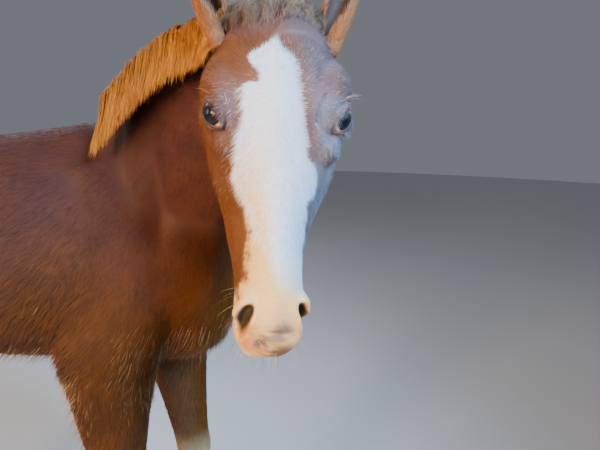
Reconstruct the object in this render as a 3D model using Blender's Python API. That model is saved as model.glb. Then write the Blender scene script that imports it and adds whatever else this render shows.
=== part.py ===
"""A chestnut cob foal, about three months old, standing with its head turned to its right.

Metres, +Z up. The trunk runs along X with the head at +X, and the foal's left side is at +Y.
The flesh is made whole from lofted forms, then parted into nodes with cuts 0.3 mm wide.
"""

import math
import random

import bmesh
import bpy
import numpy as np
from mathutils import Matrix, Vector
from mathutils.bvhtree import BVHTree

# Gap between neighbouring nodes
GAP = 0.0003

# Moves the middle of the whole foal's outline on the floor to the origin
CENTRE_SHIFT = (0.2518, 0.0921, 0.0)
RING_SIDES = 40
SPAN_STEPS = 6

# Triangles kept in the body and head before they are parted, and how many locks each node carries
BODY_TRIANGLES = 4300
HEAD_TRIANGLES = 2600
EAR_TRIANGLES = 360
MANE_LOCKS = 24
FORELOCK_LOCKS = 10
TAIL_LOCKS = 16
FEATHER_LOCKS = 5

# Colour and roughness of each kind of node
COLOURS = {
    "torso": ((0.155, 0.052, 0.022), 0.78),
    "neck": ((0.290, 0.120, 0.036), 0.75),
    "head": ((0.330, 0.150, 0.060), 0.75),
    "ear": ((0.150, 0.065, 0.030), 0.80),
    "eye": ((0.012, 0.010, 0.012), 0.12),
    "tail": ((0.320, 0.140, 0.045), 0.75),
    "upper": ((0.200, 0.065, 0.018), 0.78),
    "lower": ((0.420, 0.300, 0.190), 0.78),
    "hoof": ((0.230, 0.170, 0.110), 0.45),
}

# Trunk stations: forward, top, bottom, half width, level of the widest point, upper and lower roundness
TRUNK = (
    ("breast tip", 0.192, 0.900, 0.765, 0.058, 0.42, 2.1, 2.1),
    ("breast", 0.172, 0.950, 0.688, 0.094, 0.42, 2.1, 2.1),
    ("shoulder point", 0.125, 0.995, 0.650, 0.118, 0.42, 1.9, 2.1),
    ("shoulder", 0.055, 1.032, 0.636, 0.124, 0.42, 1.7, 2.1),
    ("withers", -0.030, 1.056, 0.638, 0.128, 0.42, 1.6, 2.0),
    ("girth", -0.110, 1.046, 0.636, 0.138, 0.42, 1.8, 2.1),
    ("ribs", -0.220, 1.030, 0.640, 0.152, 0.44, 2.0, 2.1),
    ("last rib", -0.340, 1.032, 0.652, 0.157, 0.46, 2.1, 2.1),
    ("loin", -0.440, 1.046, 0.676, 0.148, 0.50, 2.1, 2.1),
    ("hip", -0.530, 1.058, 0.715, 0.138, 0.55, 2.1, 2.0),
    ("croup", -0.620, 1.050, 0.755, 0.126, 0.55, 2.0, 2.0),
    ("tail head", -0.700, 1.012, 0.790, 0.100, 0.55, 2.0, 2.0),
    ("rump tip", -0.752, 0.955, 0.835, 0.055, 0.50, 2.0, 2.0),
)

# Neck stations: crest point, throat point, half width
NECK = (
    ("neck root", (-0.060, 0.000, 1.040), (0.120, 0.000, 0.745), 0.094),
    ("neck base", (0.015, -0.030, 1.078), (0.180, -0.014, 0.835), 0.088),
    ("lower neck", (0.080, -0.080, 1.118), (0.212, -0.052, 0.905), 0.077),
    ("middle neck", (0.145, -0.140, 1.146), (0.240, -0.100, 0.962), 0.067),
    ("upper neck", (0.212, -0.178, 1.160), (0.264, -0.142, 1.005), 0.060),
    ("throat latch", (0.264, -0.216, 1.166), (0.288, -0.180, 1.035), 0.057),
    ("atlas", (0.290, -0.260, 1.160), (0.300, -0.225, 1.050), 0.050),
)

# Head frame: where the face line passes between the eyes, and how the head is turned
BROW_POINT = Vector((0.275, -0.292, 1.056))
BROW_ALONG = 0.130
NOSE_DROP = math.radians(17.0)
FACE_TURN = math.radians(8.0)
HEAD_TILT = math.radians(1.4)

# Head stations: along from the poll, face line, jaw line, half width, widest level, upper and lower roundness
HEAD = (
    ("nape tip", -0.034, -0.072, -0.096, 0.012, 0.50, 2.0, 2.0),
    ("nape", -0.022, -0.046, -0.116, 0.036, 0.50, 2.0, 2.0),
    ("poll", 0.004, -0.019, -0.132, 0.053, 0.55, 2.1, 2.0),
    ("ears", 0.040, -0.004, -0.150, 0.067, 0.60, 2.3, 1.9),
    ("temple", 0.080, 0.006, -0.166, 0.082, 0.64, 2.4, 1.8),
    ("brow", 0.125, 0.006, -0.170, 0.083, 0.64, 2.4, 1.8),
    ("under eye", 0.165, -0.003, -0.158, 0.077, 0.58, 2.0, 1.8),
    ("cheek", 0.205, -0.011, -0.140, 0.066, 0.50, 1.8, 2.2),
    ("nose bridge", 0.248, -0.016, -0.120, 0.051, 0.48, 1.8, 2.5),
    ("nose", 0.290, -0.018, -0.104, 0.0415, 0.48, 1.9, 2.4),
    ("nostrils", 0.334, -0.021, -0.098, 0.0390, 0.50, 2.1, 2.2),
    ("lips", 0.368, -0.029, -0.098, 0.0385, 0.50, 2.3, 2.2),
    ("lip tip", 0.392, -0.052, -0.082, 0.025, 0.50, 2.1, 2.1),
)

# Rounded pieces on each side of the head and of the body: place, and half sizes along the same axes
HEAD_BULGES = (
    ("brow ridge", (0.125, 0.048, -0.036), (0.056, 0.036, 0.040)),
    ("eye bone", (0.098, 0.053, -0.038), (0.046, 0.035, 0.038)),
    ("cheek", (0.105, 0.042, -0.112), (0.062, 0.026, 0.052)),
)
BODY_BULGES = (
    ("breast", (0.146, 0.046, 0.775), (0.050, 0.046, 0.080)),
    ("buttock", (-0.692, 0.056, 0.885), (0.058, 0.052, 0.120)),
    ("hip point", (-0.500, 0.084, 0.985), (0.090, 0.042, 0.050)),
)

# The muzzle's rounded pieces: place along and back from the face line, half sizes along, across and deep
UPPER_LIP = (0.360, -0.052, (0.033, 0.037, 0.027))
LOWER_LIP = (0.354, -0.088, (0.027, 0.028, 0.016))
CHIN = (0.330, -0.095, (0.030, 0.025, 0.014))
NOSTRIL_FLARE = (0.340, 0.0290, -0.045, (0.027, 0.0145, 0.022))

# Nostrils: place in the head, and half sizes along, across and deep
NOSTRIL_PLACE = (0.343, 0.0350, -0.0320)
NOSTRIL_SIZE = (0.0155, 0.0086, 0.0150)

# The muzzle turns to its left about the head's length and lies a little to the right, between two places along
MUZZLE_TURN = math.radians(12.0)
MUZZLE_SHIFT = -0.0045
MUZZLE_FROM, MUZZLE_TO = 0.150, 0.290
MUZZLE_MIDDLE = -0.060

# Eyes in the head: along, out and forward from the face line, how far the two and their brows lie to the
# left, the ball's radius and the lids' thickness
EYE_PLACE = (0.131, 0.0600, -0.0270)
EYES_ASIDE = 0.003
EYE_RADIUS = 0.0190
LID = 0.0060
EYE_OPENING = (0.0172, 0.0104)

# Ears: along, out and forward of the base, the way each points in the head, length and base radius
EAR_BASE = (0.031, 0.064, -0.045)
EAR_WAY = (-0.96, 0.27, -0.02)
EAR_LENGTH = 0.124
EAR_RADIUS = 0.0163
# How far the opening turns towards the middle at the foot of the ear, and outwards at its tip
EAR_TURN_FOOT, EAR_TURN_TIP = math.radians(-38.0), math.radians(22.0)

# Cutting planes through the neck's base and behind the jaw: a point and the way they face
NECK_CUT = ((0.095, 0.0, 0.968), (0.715, 0.0, 0.699))
HEAD_CUT = ((0.270, -0.145, 1.092), (0.45, -0.85, -0.15))

TAIL_CUT = (-0.770, 0.0, 0.965)

# Tail stations: forward, height, half width, half depth
TAIL = (
    ("root", -0.660, 0.985, 0.030, 0.030),
    ("dock", -0.745, 0.992, 0.028, 0.026),
    ("bend", -0.794, 0.962, 0.030, 0.028),
    ("upper brush", -0.819, 0.890, 0.037, 0.033),
    ("middle brush", -0.824, 0.800, 0.041, 0.036),
    ("lower brush", -0.818, 0.710, 0.035, 0.031),
    ("tip", -0.808, 0.640, 0.015, 0.013),
)

# Hoof stations: height, forward of the leg's line, half length, half width
HOOF = (
    ("ground bevel", 0.000, 0.0250, 0.0405, 0.0375),
    ("ground", 0.003, 0.0250, 0.0420, 0.0390),
    ("wall", 0.028, 0.0225, 0.0395, 0.0385),
    ("below coronet", 0.050, 0.0200, 0.0370, 0.0375),
    ("coronet", 0.080, 0.0160, 0.0345, 0.0355),
)
CORONET_HEIGHT = 0.054
CORONET_SLOPE = math.radians(20.0)

# Foreleg stations: height, forward, half length, half width
FORELEG = (
    ("in hoof", 0.015, 0.024, 0.034, 0.034),
    ("coronet", 0.052, 0.018, 0.0355, 0.0365),
    ("pastern", 0.082, 0.010, 0.030, 0.030),
    ("fetlock", 0.128, 0.000, 0.037, 0.034),
    ("low cannon", 0.170, 0.000, 0.029, 0.026),
    ("cannon", 0.240, 0.000, 0.028, 0.024),
    ("high cannon", 0.310, 0.001, 0.031, 0.029),
    ("knee", 0.365, 0.005, 0.038, 0.040),
    ("above knee", 0.415, 0.002, 0.041, 0.038),
    ("forearm", 0.500, -0.002, 0.053, 0.043),
    ("high forearm", 0.590, -0.006, 0.068, 0.052),
    ("elbow", 0.670, -0.004, 0.082, 0.056),
    ("upper arm", 0.760, 0.020, 0.092, 0.052),
    ("shoulder blade", 0.880, 0.010, 0.078, 0.040),
    ("blade top", 0.985, -0.020, 0.055, 0.020),
)
FORELEG_OUT = 0.096

# Hind leg stations: height, forward of the hoof, half length, half width
HIND_LEG = (
    ("in hoof", 0.015, 0.024, 0.034, 0.034),
    ("coronet", 0.052, 0.018, 0.0355, 0.0365),
    ("pastern", 0.084, 0.009, 0.030, 0.030),
    ("fetlock", 0.134, -0.003, 0.038, 0.034),
    ("low cannon", 0.180, -0.005, 0.030, 0.026),
    ("cannon", 0.260, -0.007, 0.030, 0.025),
    ("high cannon", 0.345, -0.011, 0.034, 0.029),
    ("hock", 0.415, -0.015, 0.050, 0.039),
    ("point of hock", 0.462, -0.018, 0.053, 0.035),
    ("above hock", 0.515, 0.008, 0.044, 0.032),
    ("gaskin", 0.590, 0.050, 0.060, 0.044),
    ("stifle", 0.680, 0.098, 0.096, 0.060),
    ("thigh", 0.780, 0.100, 0.128, 0.066),
    ("hip", 0.890, 0.080, 0.128, 0.058),
    ("haunch top", 0.990, 0.085, 0.085, 0.036),
)
HIND_LEG_OUT = 0.094

# Each leg: side, how far forward its hoof stands, the forward place of its upper end
LEGS = {
    "foreleg_right": (-1, -0.006, 0.000),
    "foreleg_left": (1, 0.110, 0.045),
    "hindleg_right": (-1, -0.735, -0.700),
    "hindleg_left": (1, -0.650, -0.700),
}


def smooth_rows(rows, steps=SPAN_STEPS):
    """Rows of numbers as a smooth curve through them (Catmull-Rom), with some steps to each span."""
    rows = np.asarray(rows, float)
    ends = np.vstack([2 * rows[0] - rows[1], rows, 2 * rows[-1] - rows[-2]])
    share = np.arange(steps)[:, None] / steps
    spans = []
    for a, b, c, d in zip(ends, ends[1:], ends[2:], ends[3:]):
        spans.append(
            0.5 * (2 * b + (c - a) * share + (2 * a - 5 * b + 4 * c - d) * share**2
                   + (3 * b - a - 3 * c + d) * share**3)
        )
    return np.vstack(spans + [rows[-1:]])


def section(centre, side, up, width, rise, drop, upper=2.0, lower=2.0):
    """A closed ring: two half superellipses that meet at the widest level."""
    turn = np.linspace(0, 2 * math.pi, RING_SIDES, endpoint=False)
    across, height = np.cos(turn), np.sin(turn)
    power = 2 / np.where(height >= 0, upper, lower)
    across = width * np.sign(across) * np.abs(across) ** power
    height = np.where(height >= 0, rise, drop) * np.sign(height) * np.abs(height) ** power
    return np.asarray(centre) + np.outer(across, side) + np.outer(height, up)


def signed_volume(points, faces):
    """Six times the volume inside the faces, negative where they point inwards."""
    total = 0.0
    for face in faces:
        for b, c in zip(face[1:], face[2:]):
            total += np.dot(points[face[0]], np.cross(points[b], points[c]))
    return total


def tube(rings):
    """(points, faces) of a closed tube through the rings, with its faces pointing out."""
    count, sides, _ = rings.shape
    points = np.vstack([rings.reshape(-1, 3), rings[0].mean(0), rings[-1].mean(0)])
    faces = []
    for i in range(count - 1):
        for j in range(sides):
            k = (j + 1) % sides
            faces.append((i * sides + j, i * sides + k, (i + 1) * sides + k, (i + 1) * sides + j))
    first, last = count * sides, count * sides + 1
    for j in range(sides):
        k = (j + 1) % sides
        faces.append((first, k, j))
        faces.append((last, (count - 1) * sides + j, (count - 1) * sides + k))
    if signed_volume(points, faces) < 0:
        faces = [face[::-1] for face in faces]
    return points, faces


def bulge(centre, axes, radii, turns=24, climbs=14):
    """(points, faces) of an ellipsoid."""
    turn = np.linspace(0, 2 * math.pi, turns, endpoint=False)
    rings = []
    for climb in np.linspace(-math.pi / 2 + 0.05, math.pi / 2 - 0.05, climbs):
        ring = (
            np.outer(np.cos(turn) * math.cos(climb) * radii[0], axes[0])
            + np.outer(np.sin(turn) * math.cos(climb) * radii[1], axes[1])
            + math.sin(climb) * radii[2] * np.asarray(axes[2])
        )
        rings.append(ring + np.asarray(centre))
    return tube(np.array(rings))


def unit(vector):
    return np.asarray(vector, float) / np.linalg.norm(vector)


def trunk_form():
    rings = []
    for x, top, bottom, width, widest, upper, lower in smooth_rows([row[1:] for row in TRUNK]):
        level = bottom + widest * (top - bottom)
        rings.append(section((x, 0, level), (0, 1, 0), (0, 0, 1), width, top - level, level - bottom, upper, lower))
    return tube(np.array(rings))


def neck_rows():
    return smooth_rows([(*crest, *throat, width) for _, crest, throat, width in NECK])


def neck_rings():
    rows = neck_rows()
    middles = (rows[:, :3] + rows[:, 3:6]) / 2
    travel = np.gradient(middles, axis=0)
    rings = []
    for row, middle, ahead in zip(rows, middles, travel):
        half = (row[:3] - row[3:6]) / 2
        up = unit(half)
        side = unit(np.cross(up, ahead))
        height = np.linalg.norm(half)
        rings.append(section(middle - up * 0.15 * height, side, up, row[6], height * 1.15, height * 0.85, 1.75, 2.0))
    return np.array(rings)


def neck_form():
    return tube(neck_rings())


def head_axes():
    """Unit vectors of the head: along to the muzzle, out to its left, and forward out of the face."""
    along = Vector((0, -math.sin(NOSE_DROP), -math.cos(NOSE_DROP)))
    face = Vector((0, -math.cos(NOSE_DROP), math.sin(NOSE_DROP)))
    left = Vector((1, 0, 0))
    turn = Matrix.Rotation(-FACE_TURN, 3, along)
    tilt = Matrix.Rotation(HEAD_TILT, 3, turn @ face)
    return tilt @ along, tilt @ turn @ left, turn @ face


ALONG, LEFT, FACE = head_axes()
POLL = BROW_POINT - ALONG * BROW_ALONG


def in_head(along, left, face):
    """The place of a point given along, out to the left and forward in the head."""
    return np.array(POLL + ALONG * along + LEFT * left + FACE * face)


def head_form():
    rings = []
    for t, top, bottom, width, widest, upper, lower in smooth_rows([row[1:] for row in HEAD]):
        level = bottom + widest * (top - bottom)
        rings.append(section(in_head(t, 0, level), LEFT, FACE, width, top - level, level - bottom, upper, lower))
    return tube(np.array(rings))


def head_bulges():
    """The brow ridges, cheeks, lids, nostril flares, lips and chin that stand out of the plain head."""
    axes = (ALONG, LEFT, FACE)
    eye_along, eye_out, eye_face = EYE_PLACE
    flare_along, flare_out, flare_back, flare_radii = NOSTRIL_FLARE
    lids = EYE_RADIUS + LID
    shapes = [bulge(in_head(t, 0, back), axes, radii) for t, back, radii in (UPPER_LIP, LOWER_LIP, CHIN)]
    for side in (-1, 1):
        for _, (along, out, face), radii in HEAD_BULGES:
            shapes.append(bulge(in_head(along, side * out + EYES_ASIDE, face), axes, radii))
        shapes.append(bulge(in_head(eye_along, side * eye_out + EYES_ASIDE, eye_face), axes, (lids, lids, lids)))
        shapes.append(bulge(in_head(flare_along, side * flare_out, flare_back), axes, flare_radii))
    return shapes


def turn_muzzle(made):
    """Turns and moves the muzzle end of the head smoothly about the head's length."""
    axes = np.array((ALONG, LEFT, FACE))
    inside = (places(made) - np.array(POLL)) @ axes.T
    share = np.clip((inside[:, 0] - MUZZLE_FROM) / (MUZZLE_TO - MUZZLE_FROM), 0, 1)
    share = share * share * (3 - 2 * share)
    turn = MUZZLE_TURN * share
    aside, face = inside[:, 1].copy(), inside[:, 2] - MUZZLE_MIDDLE
    inside[:, 1] = aside * np.cos(turn) + face * np.sin(turn) + MUZZLE_SHIFT * share
    inside[:, 2] = MUZZLE_MIDDLE + face * np.cos(turn) - aside * np.sin(turn)
    move_to(made, np.array(POLL) + inside @ axes)


def leg_form(name):
    side, hoof, top = LEGS[name]
    fore = name.startswith("fore")
    table, out = (FORELEG, FORELEG_OUT) if fore else (HIND_LEG, HIND_LEG_OUT)
    rings = []
    for height, forward, length, width in smooth_rows([row[1:] for row in table]):
        share = min(height / 0.68, 1.0)
        x = hoof + (top - hoof) * share + forward
        y = side * (out - 0.030 * max(0.0, (height - 0.70) / 0.30))
        rings.append(section((x, y, height), (1, 0, 0), (0, 1, 0), length, width, width, 2.2, 2.2))
    return tube(np.array(rings))


def body_bulges():
    """Breast muscles, buttocks and hip points."""
    return [bulge((x, side * y, z), np.eye(3), radii) for side in (-1, 1) for _, (x, y, z), radii in BODY_BULGES]


def tail_form():
    rows = smooth_rows([row[1:] for row in TAIL])
    travel = np.gradient(rows[:, :2], axis=0)
    rings = []
    for (x, height, width, depth), ahead in zip(rows, travel):
        back = unit((ahead[1], 0, -ahead[0]))
        rings.append(section((x, 0, height), (0, 1, 0), back, width, depth, depth))
    return tube(np.array(rings))


def make_object(name, points, faces):
    mesh = bpy.data.meshes.new(name)
    mesh.from_pydata([tuple(p) for p in points], [], faces)
    made = bpy.data.objects.new(name, mesh)
    bpy.context.scene.collection.objects.link(made)
    return made


def joined(name, shapes):
    """One object that holds several closed shapes, which may cross each other."""
    points, faces, base = [], [], 0
    for shape_points, shape_faces in shapes:
        points.append(shape_points)
        faces += [tuple(base + i for i in face) for face in shape_faces]
        base += len(shape_points)
    return make_object(name, np.vstack(points), faces)


def bake(made):
    """Applies an object's modifiers."""
    graph = bpy.context.evaluated_depsgraph_get()
    mesh = bpy.data.meshes.new_from_object(made.evaluated_get(graph))
    made.modifiers.clear()
    made.data = mesh


def fused(name, shapes, voxel, rounds):
    """The shapes as one closed skin, smoothed where they meet."""
    made = joined(name, shapes)
    remesh = made.modifiers.new("fuse", "REMESH")
    remesh.mode = "VOXEL"
    remesh.voxel_size = voxel
    smooth = made.modifiers.new("soften", "SMOOTH")
    smooth.factor = 0.5
    smooth.iterations = rounds
    bake(made)
    return made


def clear_scene():
    for old in list(bpy.data.objects):
        bpy.data.objects.remove(old, do_unlink=True)


def places(made):
    """The object's vertices as an array."""
    found = np.empty(len(made.data.vertices) * 3, np.float32)
    made.data.vertices.foreach_get("co", found)
    return found.reshape(-1, 3).astype(float)


def move_to(made, points):
    made.data.vertices.foreach_set("co", np.asarray(points, np.float32).ravel())
    made.data.update()


def thinned(made, triangles):
    """Fewer triangles where the surface is flat, with more of them left if it would open."""
    before = made.data
    count = sum(len(face.vertices) - 2 for face in before.polygons)
    for more in (1.0, 1.1, 1.3, 1.6, 2.0):
        made.data = before
        thin = made.modifiers.new("thin", "DECIMATE")
        thin.ratio = min(1.0, more * triangles / count)
        bake(made)
        if open_edges(made) == 0:
            break


def islands(made):
    """For each vertex, the number of the closed surface it belongs to."""
    count = len(made.data.vertices)
    edges = np.empty(len(made.data.edges) * 2, np.int64)
    made.data.edges.foreach_get("vertices", edges)
    edges = edges.reshape(-1, 2)
    label = np.arange(count)
    while True:
        low = np.minimum(label[edges[:, 0]], label[edges[:, 1]])
        new = label.copy()
        np.minimum.at(new, edges[:, 0], low)
        np.minimum.at(new, edges[:, 1], low)
        new = new[new]
        if (new == label).all():
            return label
        label = new


def piece(made, name, kept):
    """A new object from the faces whose vertices are all kept."""
    index = np.cumsum(kept) - 1
    faces = [tuple(index[list(f.vertices)]) for f in made.data.polygons if kept[f.vertices[0]]]
    return make_object(name, places(made)[kept], faces)


def largest(made):
    """The same object with only its largest closed surface."""
    label = islands(made)
    names, sizes = np.unique(label, return_counts=True)
    if len(names) == 1:
        return
    kept = label == names[sizes.argmax()]
    whole = piece(made, made.name + " whole", kept)
    made.data = whole.data
    bpy.data.objects.remove(whole)


def open_edges(made):
    """How many edges don't lie between exactly two faces."""
    shape = bmesh.new()
    shape.from_mesh(made.data)
    count = sum(len(edge.link_faces) != 2 for edge in shape.edges)
    shape.free()
    return count


def combine(made, others, operation):
    """One Boolean of a node with a whole collection of helper shapes, which are then removed."""
    group = bpy.data.collections.new("helpers")
    bpy.context.scene.collection.children.link(group)
    for other in others:
        other.hide_render = True
        other.display_type = "WIRE"
        bpy.context.scene.collection.objects.unlink(other)
        group.objects.link(other)
    before = made.data
    for solver in ("EXACT", "MANIFOLD"):
        made.data = before
        step = made.modifiers.new("combine", "BOOLEAN")
        step.operation = operation
        step.operand_type = "COLLECTION"
        step.collection = group
        step.solver = solver
        bake(made)
        if open_edges(made) == 0:
            break
    for other in others:
        bpy.data.objects.remove(other)
    bpy.data.collections.remove(group)


def block(name, centre, axes, halves):
    """A box turned to three axes."""
    corners = [(i, j, k) for i in (-1, 1) for j in (-1, 1) for k in (-1, 1)]
    points = [
        np.asarray(centre) + sum(sign * half * np.asarray(axis) for sign, half, axis in zip(corner, halves, axes))
        for corner in corners
    ]
    faces = [(0, 1, 3, 2), (4, 6, 7, 5), (0, 4, 5, 1), (2, 3, 7, 6), (0, 2, 6, 4), (1, 5, 7, 3)]
    if signed_volume(points, faces) < 0:
        faces = [face[::-1] for face in faces]
    return make_object(name, points, faces)


def plate(name, centre, normal, across, half_across, half_along):
    """A thin plate, as thick as the gap between two nodes."""
    normal = unit(normal)
    across = unit(np.asarray(across) - np.dot(across, normal) * normal)
    along = np.cross(normal, across)
    return block(name, centre, (across, along, normal), (half_across, half_along, GAP / 2))


def leg_line(name, height):
    """Forward and sideways place of a leg's middle at a height."""
    side, hoof, top = LEGS[name]
    fore = name.startswith("fore")
    table, out = (FORELEG, FORELEG_OUT) if fore else (HIND_LEG, HIND_LEG_OUT)
    rows = np.array([row[1:] for row in table])
    forward = np.interp(height, rows[:, 0], rows[:, 1])
    x = hoof + (top - hoof) * min(height / 0.68, 1.0) + forward
    return np.array((x, side * (out - 0.030 * max(0.0, (height - 0.70) / 0.30)), height))


def leg_plates(name):
    """Plates through the top of the leg, below its knee or hock, and round the top of the hoof."""
    side = LEGS[name][0]
    fore = name.startswith("fore")
    inner, start, rise, drop = (0.022, 0.616, 0.77, 0.0) if fore else (0.010, 0.655, 0.90, 0.30)
    middle = leg_line(name, 0.66 if fore else 0.70)
    middle[1:] = side * (inner + 0.090), start + rise * 0.090
    knee = leg_line(name, 0.338 if fore else 0.388)
    hoof = leg_line(name, CORONET_HEIGHT)
    return [
        plate("top", middle, (drop, -side * rise, 1), (0, side, rise), 0.118, 0.155),
        plate("joint", knee, (0, 0, 1), (1, 0, 0), 0.085, 0.070),
        plate("coronet", hoof, (-math.sin(CORONET_SLOPE), 0, math.cos(CORONET_SLOPE)), (1, 0, 0), 0.065, 0.060),
    ]


def hoof_form(name):
    """A closed hoof with a flat ground face and a sloping top just under the coronet."""
    base = leg_line(name, 0.0)
    top = leg_line(name, CORONET_HEIGHT)
    lean = (top - base) / CORONET_HEIGHT
    rings = []
    for height, forward, length, width in [row[1:] for row in HOOF]:
        middle = np.array((base[0] - leg_shift(name) + forward, base[1], height))
        rings.append(section(middle, (1, 0, 0), (0, 1, 0), length, width, width, 2.15, 2.15))
    rings = np.array(rings)
    slope = math.tan(CORONET_SLOPE)
    ceiling = top[2] + slope * (rings[:, :, 0] - top[0]) - GAP / 2 / math.cos(CORONET_SLOPE)
    rings[-1, :, 2] = ceiling[-1]
    share = np.clip(rings[:-1, :, 2] / HOOF[-1][1], 0, 1)
    rings[:-1, :, 2] = share * ceiling[:-1]
    return tube(rings[:, ::2])


def leg_shift(name):
    """How far the leg's lowest station stands forward of its own line."""
    return (FORELEG if name.startswith("fore") else HIND_LEG)[0][2]


def lock(name, spine, across, width, thickness, sides=5):
    """A flat lock that narrows to a point along its spine, with its root closed off."""
    spine = np.asarray(spine, float)
    travel = np.gradient(spine, axis=0)
    turn = np.linspace(0, 2 * math.pi, sides, endpoint=False) + 0.3
    swell = np.sin(np.linspace(0.35, 1.0, len(spine)) * math.pi) ** 0.7
    rings = []
    for point, ahead, share in zip(spine[:-1], travel, swell):
        ahead = unit(ahead)
        flat = unit(np.asarray(across) - np.dot(across, ahead) * ahead)
        out = np.cross(ahead, flat)
        share = max(share, 0.3)
        rings.append(
            point + np.outer(np.cos(turn) * width * share, flat) + np.outer(np.sin(turn) * thickness * share, out)
        )
    points = np.vstack(rings + [spine[:1] - 0.15 * (spine[1:2] - spine[:1]), spine[-1:]])
    count = len(rings)
    faces = []
    for i in range(count - 1):
        for j in range(sides):
            k = (j + 1) % sides
            a, b, c, d = i * sides + j, i * sides + k, (i + 1) * sides + k, (i + 1) * sides + j
            faces += [(a, b, c), (a, c, d)]
    for j in range(sides):
        k = (j + 1) % sides
        faces.append((count * sides, k, j))
        faces.append((count * sides + 1, (count - 1) * sides + j, (count - 1) * sides + k))
    if signed_volume(points, faces) < 0:
        faces = [face[::-1] for face in faces]
    return make_object(name, points, faces)


def held_off(point, surface, distance):
    """The point itself, or where it would lie if pushed out to a distance from a surface."""
    near, normal, _, _ = surface.find_nearest(Vector(point))
    apart = Vector(point) - near
    depth = apart.dot(normal)
    if apart.length > distance and depth > 0:
        return np.array(point)
    return np.array(near + normal * distance)


def surface_of(made):
    return BVHTree.FromPolygons([tuple(p) for p in places(made)], [tuple(f.vertices) for f in made.data.polygons])


def grown(name, made, distance):
    """A copy of a shape with its whole surface moved out."""
    copy = make_object(name, places(made), [tuple(face.vertices) for face in made.data.polygons])
    normals = np.array([vertex.normal for vertex in copy.data.vertices])
    move_to(copy, places(copy) + normals * distance)
    return copy


def mane_locks(surface, ears, count, chance):
    """Locks from the crest that stand up, turn over to the right side and hang down it."""
    rows = neck_rows()
    share = np.linspace(0, 1, len(rows))
    locks = []
    for number in range(count):
        at = 0.19 + 0.53 * (number + chance.uniform(-0.3, 0.3)) / (count - 1)
        row = np.array([np.interp(at, share, rows[:, k]) for k in range(7)])
        later = np.array([np.interp(at + 0.02, share, rows[:, k]) for k in range(7)])
        crest, throat = row[:3], row[3:6]
        up = unit(crest - throat)
        ahead = unit(later[:3] - crest)
        right = unit(np.cross(ahead, up))
        length = 0.092 - 0.085 * at + chance.uniform(-0.009, 0.005)
        rise = 0.016 + chance.uniform(0.0, 0.010)
        lean = chance.uniform(-0.22, 0.06) - 0.9 * max(0.0, at - 0.58)
        swing = right * 0.55 + np.array((0, 0, -1.0)) + ahead * lean
        spine = [
            crest - up * 0.016 - right * 0.002,
            crest + up * rise * 0.45 + right * 0.010,
            crest + up * rise + right * 0.030,
            crest + up * rise * 0.2 + right * 0.046 + unit(swing) * length * 0.30,
            crest + right * 0.050 + unit(swing) * length * 0.70,
            crest + right * 0.046 + unit(swing) * length * 1.05,
        ]
        off = 0.0065 + 0.004 * chance.random()
        spine = spine[:2] + [held_off(p, surface, off + 0.001 * i) for i, p in enumerate(spine[2:])]
        if min(ear.find_nearest(Vector(p))[3] for ear in ears for p in spine) < 0.020:
            continue
        locks.append(lock("lock", spine, ahead, 0.0125 + chance.uniform(0, 0.003), 0.0042))
    return locks


def forelock_locks(surface, count, chance):
    """Short tufts between the ears that fall forward over the forehead."""
    locks = []
    for number in range(count):
        out = 0.036 * (2 * (number + 0.5) / count - 1) + chance.uniform(-0.003, 0.003)
        back = -0.022 + 0.016 * (number % 2) + chance.uniform(-0.004, 0.004)
        root = in_head(back, out, -0.030)
        near, normal, _, _ = surface.find_nearest(Vector(root) + FACE * 0.06)
        root = np.array(near)
        normal = np.array(normal)
        length = chance.uniform(0.019, 0.027)
        way = np.array(ALONG) + np.array(LEFT) * (out * 9 + chance.uniform(-0.25, 0.25))
        spine = [
            root - normal * 0.010 - way * 0.004,
            root + normal * 0.009 + way * length * 0.10,
            held_off(root + normal * 0.014 + way * length * 0.45, surface, 0.011),
            held_off(root + normal * 0.008 + way * length * 0.78, surface, 0.008),
            held_off(root + way * length * 1.1, surface, 0.004),
        ]
        locks.append(lock("lock", spine, LEFT, 0.0100, 0.0036))
    return locks


def tail_locks(count, chance):
    """Locks that leave the tail's core and hang round it."""
    rows = smooth_rows([row[1:] for row in TAIL])
    locks = []
    for number in range(count):
        at = 0.31 + 0.61 * number / (count - 1)
        row = [np.interp(at, np.linspace(0, 1, len(rows)), rows[:, k]) for k in range(4)]
        turn = number * 2.4 + chance.uniform(-0.3, 0.3)
        out = np.array((-math.cos(turn) * 0.9, math.sin(turn), 0.0))
        middle = np.array((row[0], 0, row[1]))
        width, depth = row[2], row[3]
        skin = middle + out * np.array((depth, width, 0))
        length = chance.uniform(0.085, 0.125)
        curl = chance.uniform(-0.012, 0.012)
        across = np.array((-out[1], out[0], 0.0))
        down = np.array((0, 0, -1.0))
        spine = [
            skin - out * 0.012 - down * 0.004,
            skin + out * 0.007 + down * length * 0.25,
            skin + out * 0.012 + down * length * 0.55 + across * curl,
            skin + out * 0.006 + down * length * 0.82 + across * curl * 0.4,
            skin + out * 0.001 + down * length - across * curl * 0.6,
        ]
        locks.append(lock("lock", spine, across, 0.0145, 0.0050))
    return locks


def feather_locks(name, count, chance):
    """Locks behind and beside the fetlock that hang towards the hoof."""
    locks = []
    for number in range(count):
        turn = math.pi * (0.46 + 1.08 * (number + 0.5) / count) + chance.uniform(-0.06, 0.06)
        out = np.array((math.cos(turn), math.sin(turn), 0.0))
        height = 0.168 + chance.uniform(0.0, 0.030)
        fall = chance.uniform(0.088, 0.104)
        across = np.array((-out[1], out[0], 0.0))
        down = np.array((-0.06, 0, -1.0))
        narrow = leg_line(name, height) + out * 0.026
        wide = leg_line(name, 0.128) + out * 0.035
        spine = [
            narrow - out * 0.010,
            narrow + out * 0.004 + down * fall * 0.22,
            wide + out * 0.005,
            wide + out * 0.008 + down * (fall - height + 0.128) * 0.55,
            wide + out * 0.003 + down * (fall - height + 0.128),
        ]
        locks.append(lock("lock", spine, across, 0.0135, 0.0034))
    return locks


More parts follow.
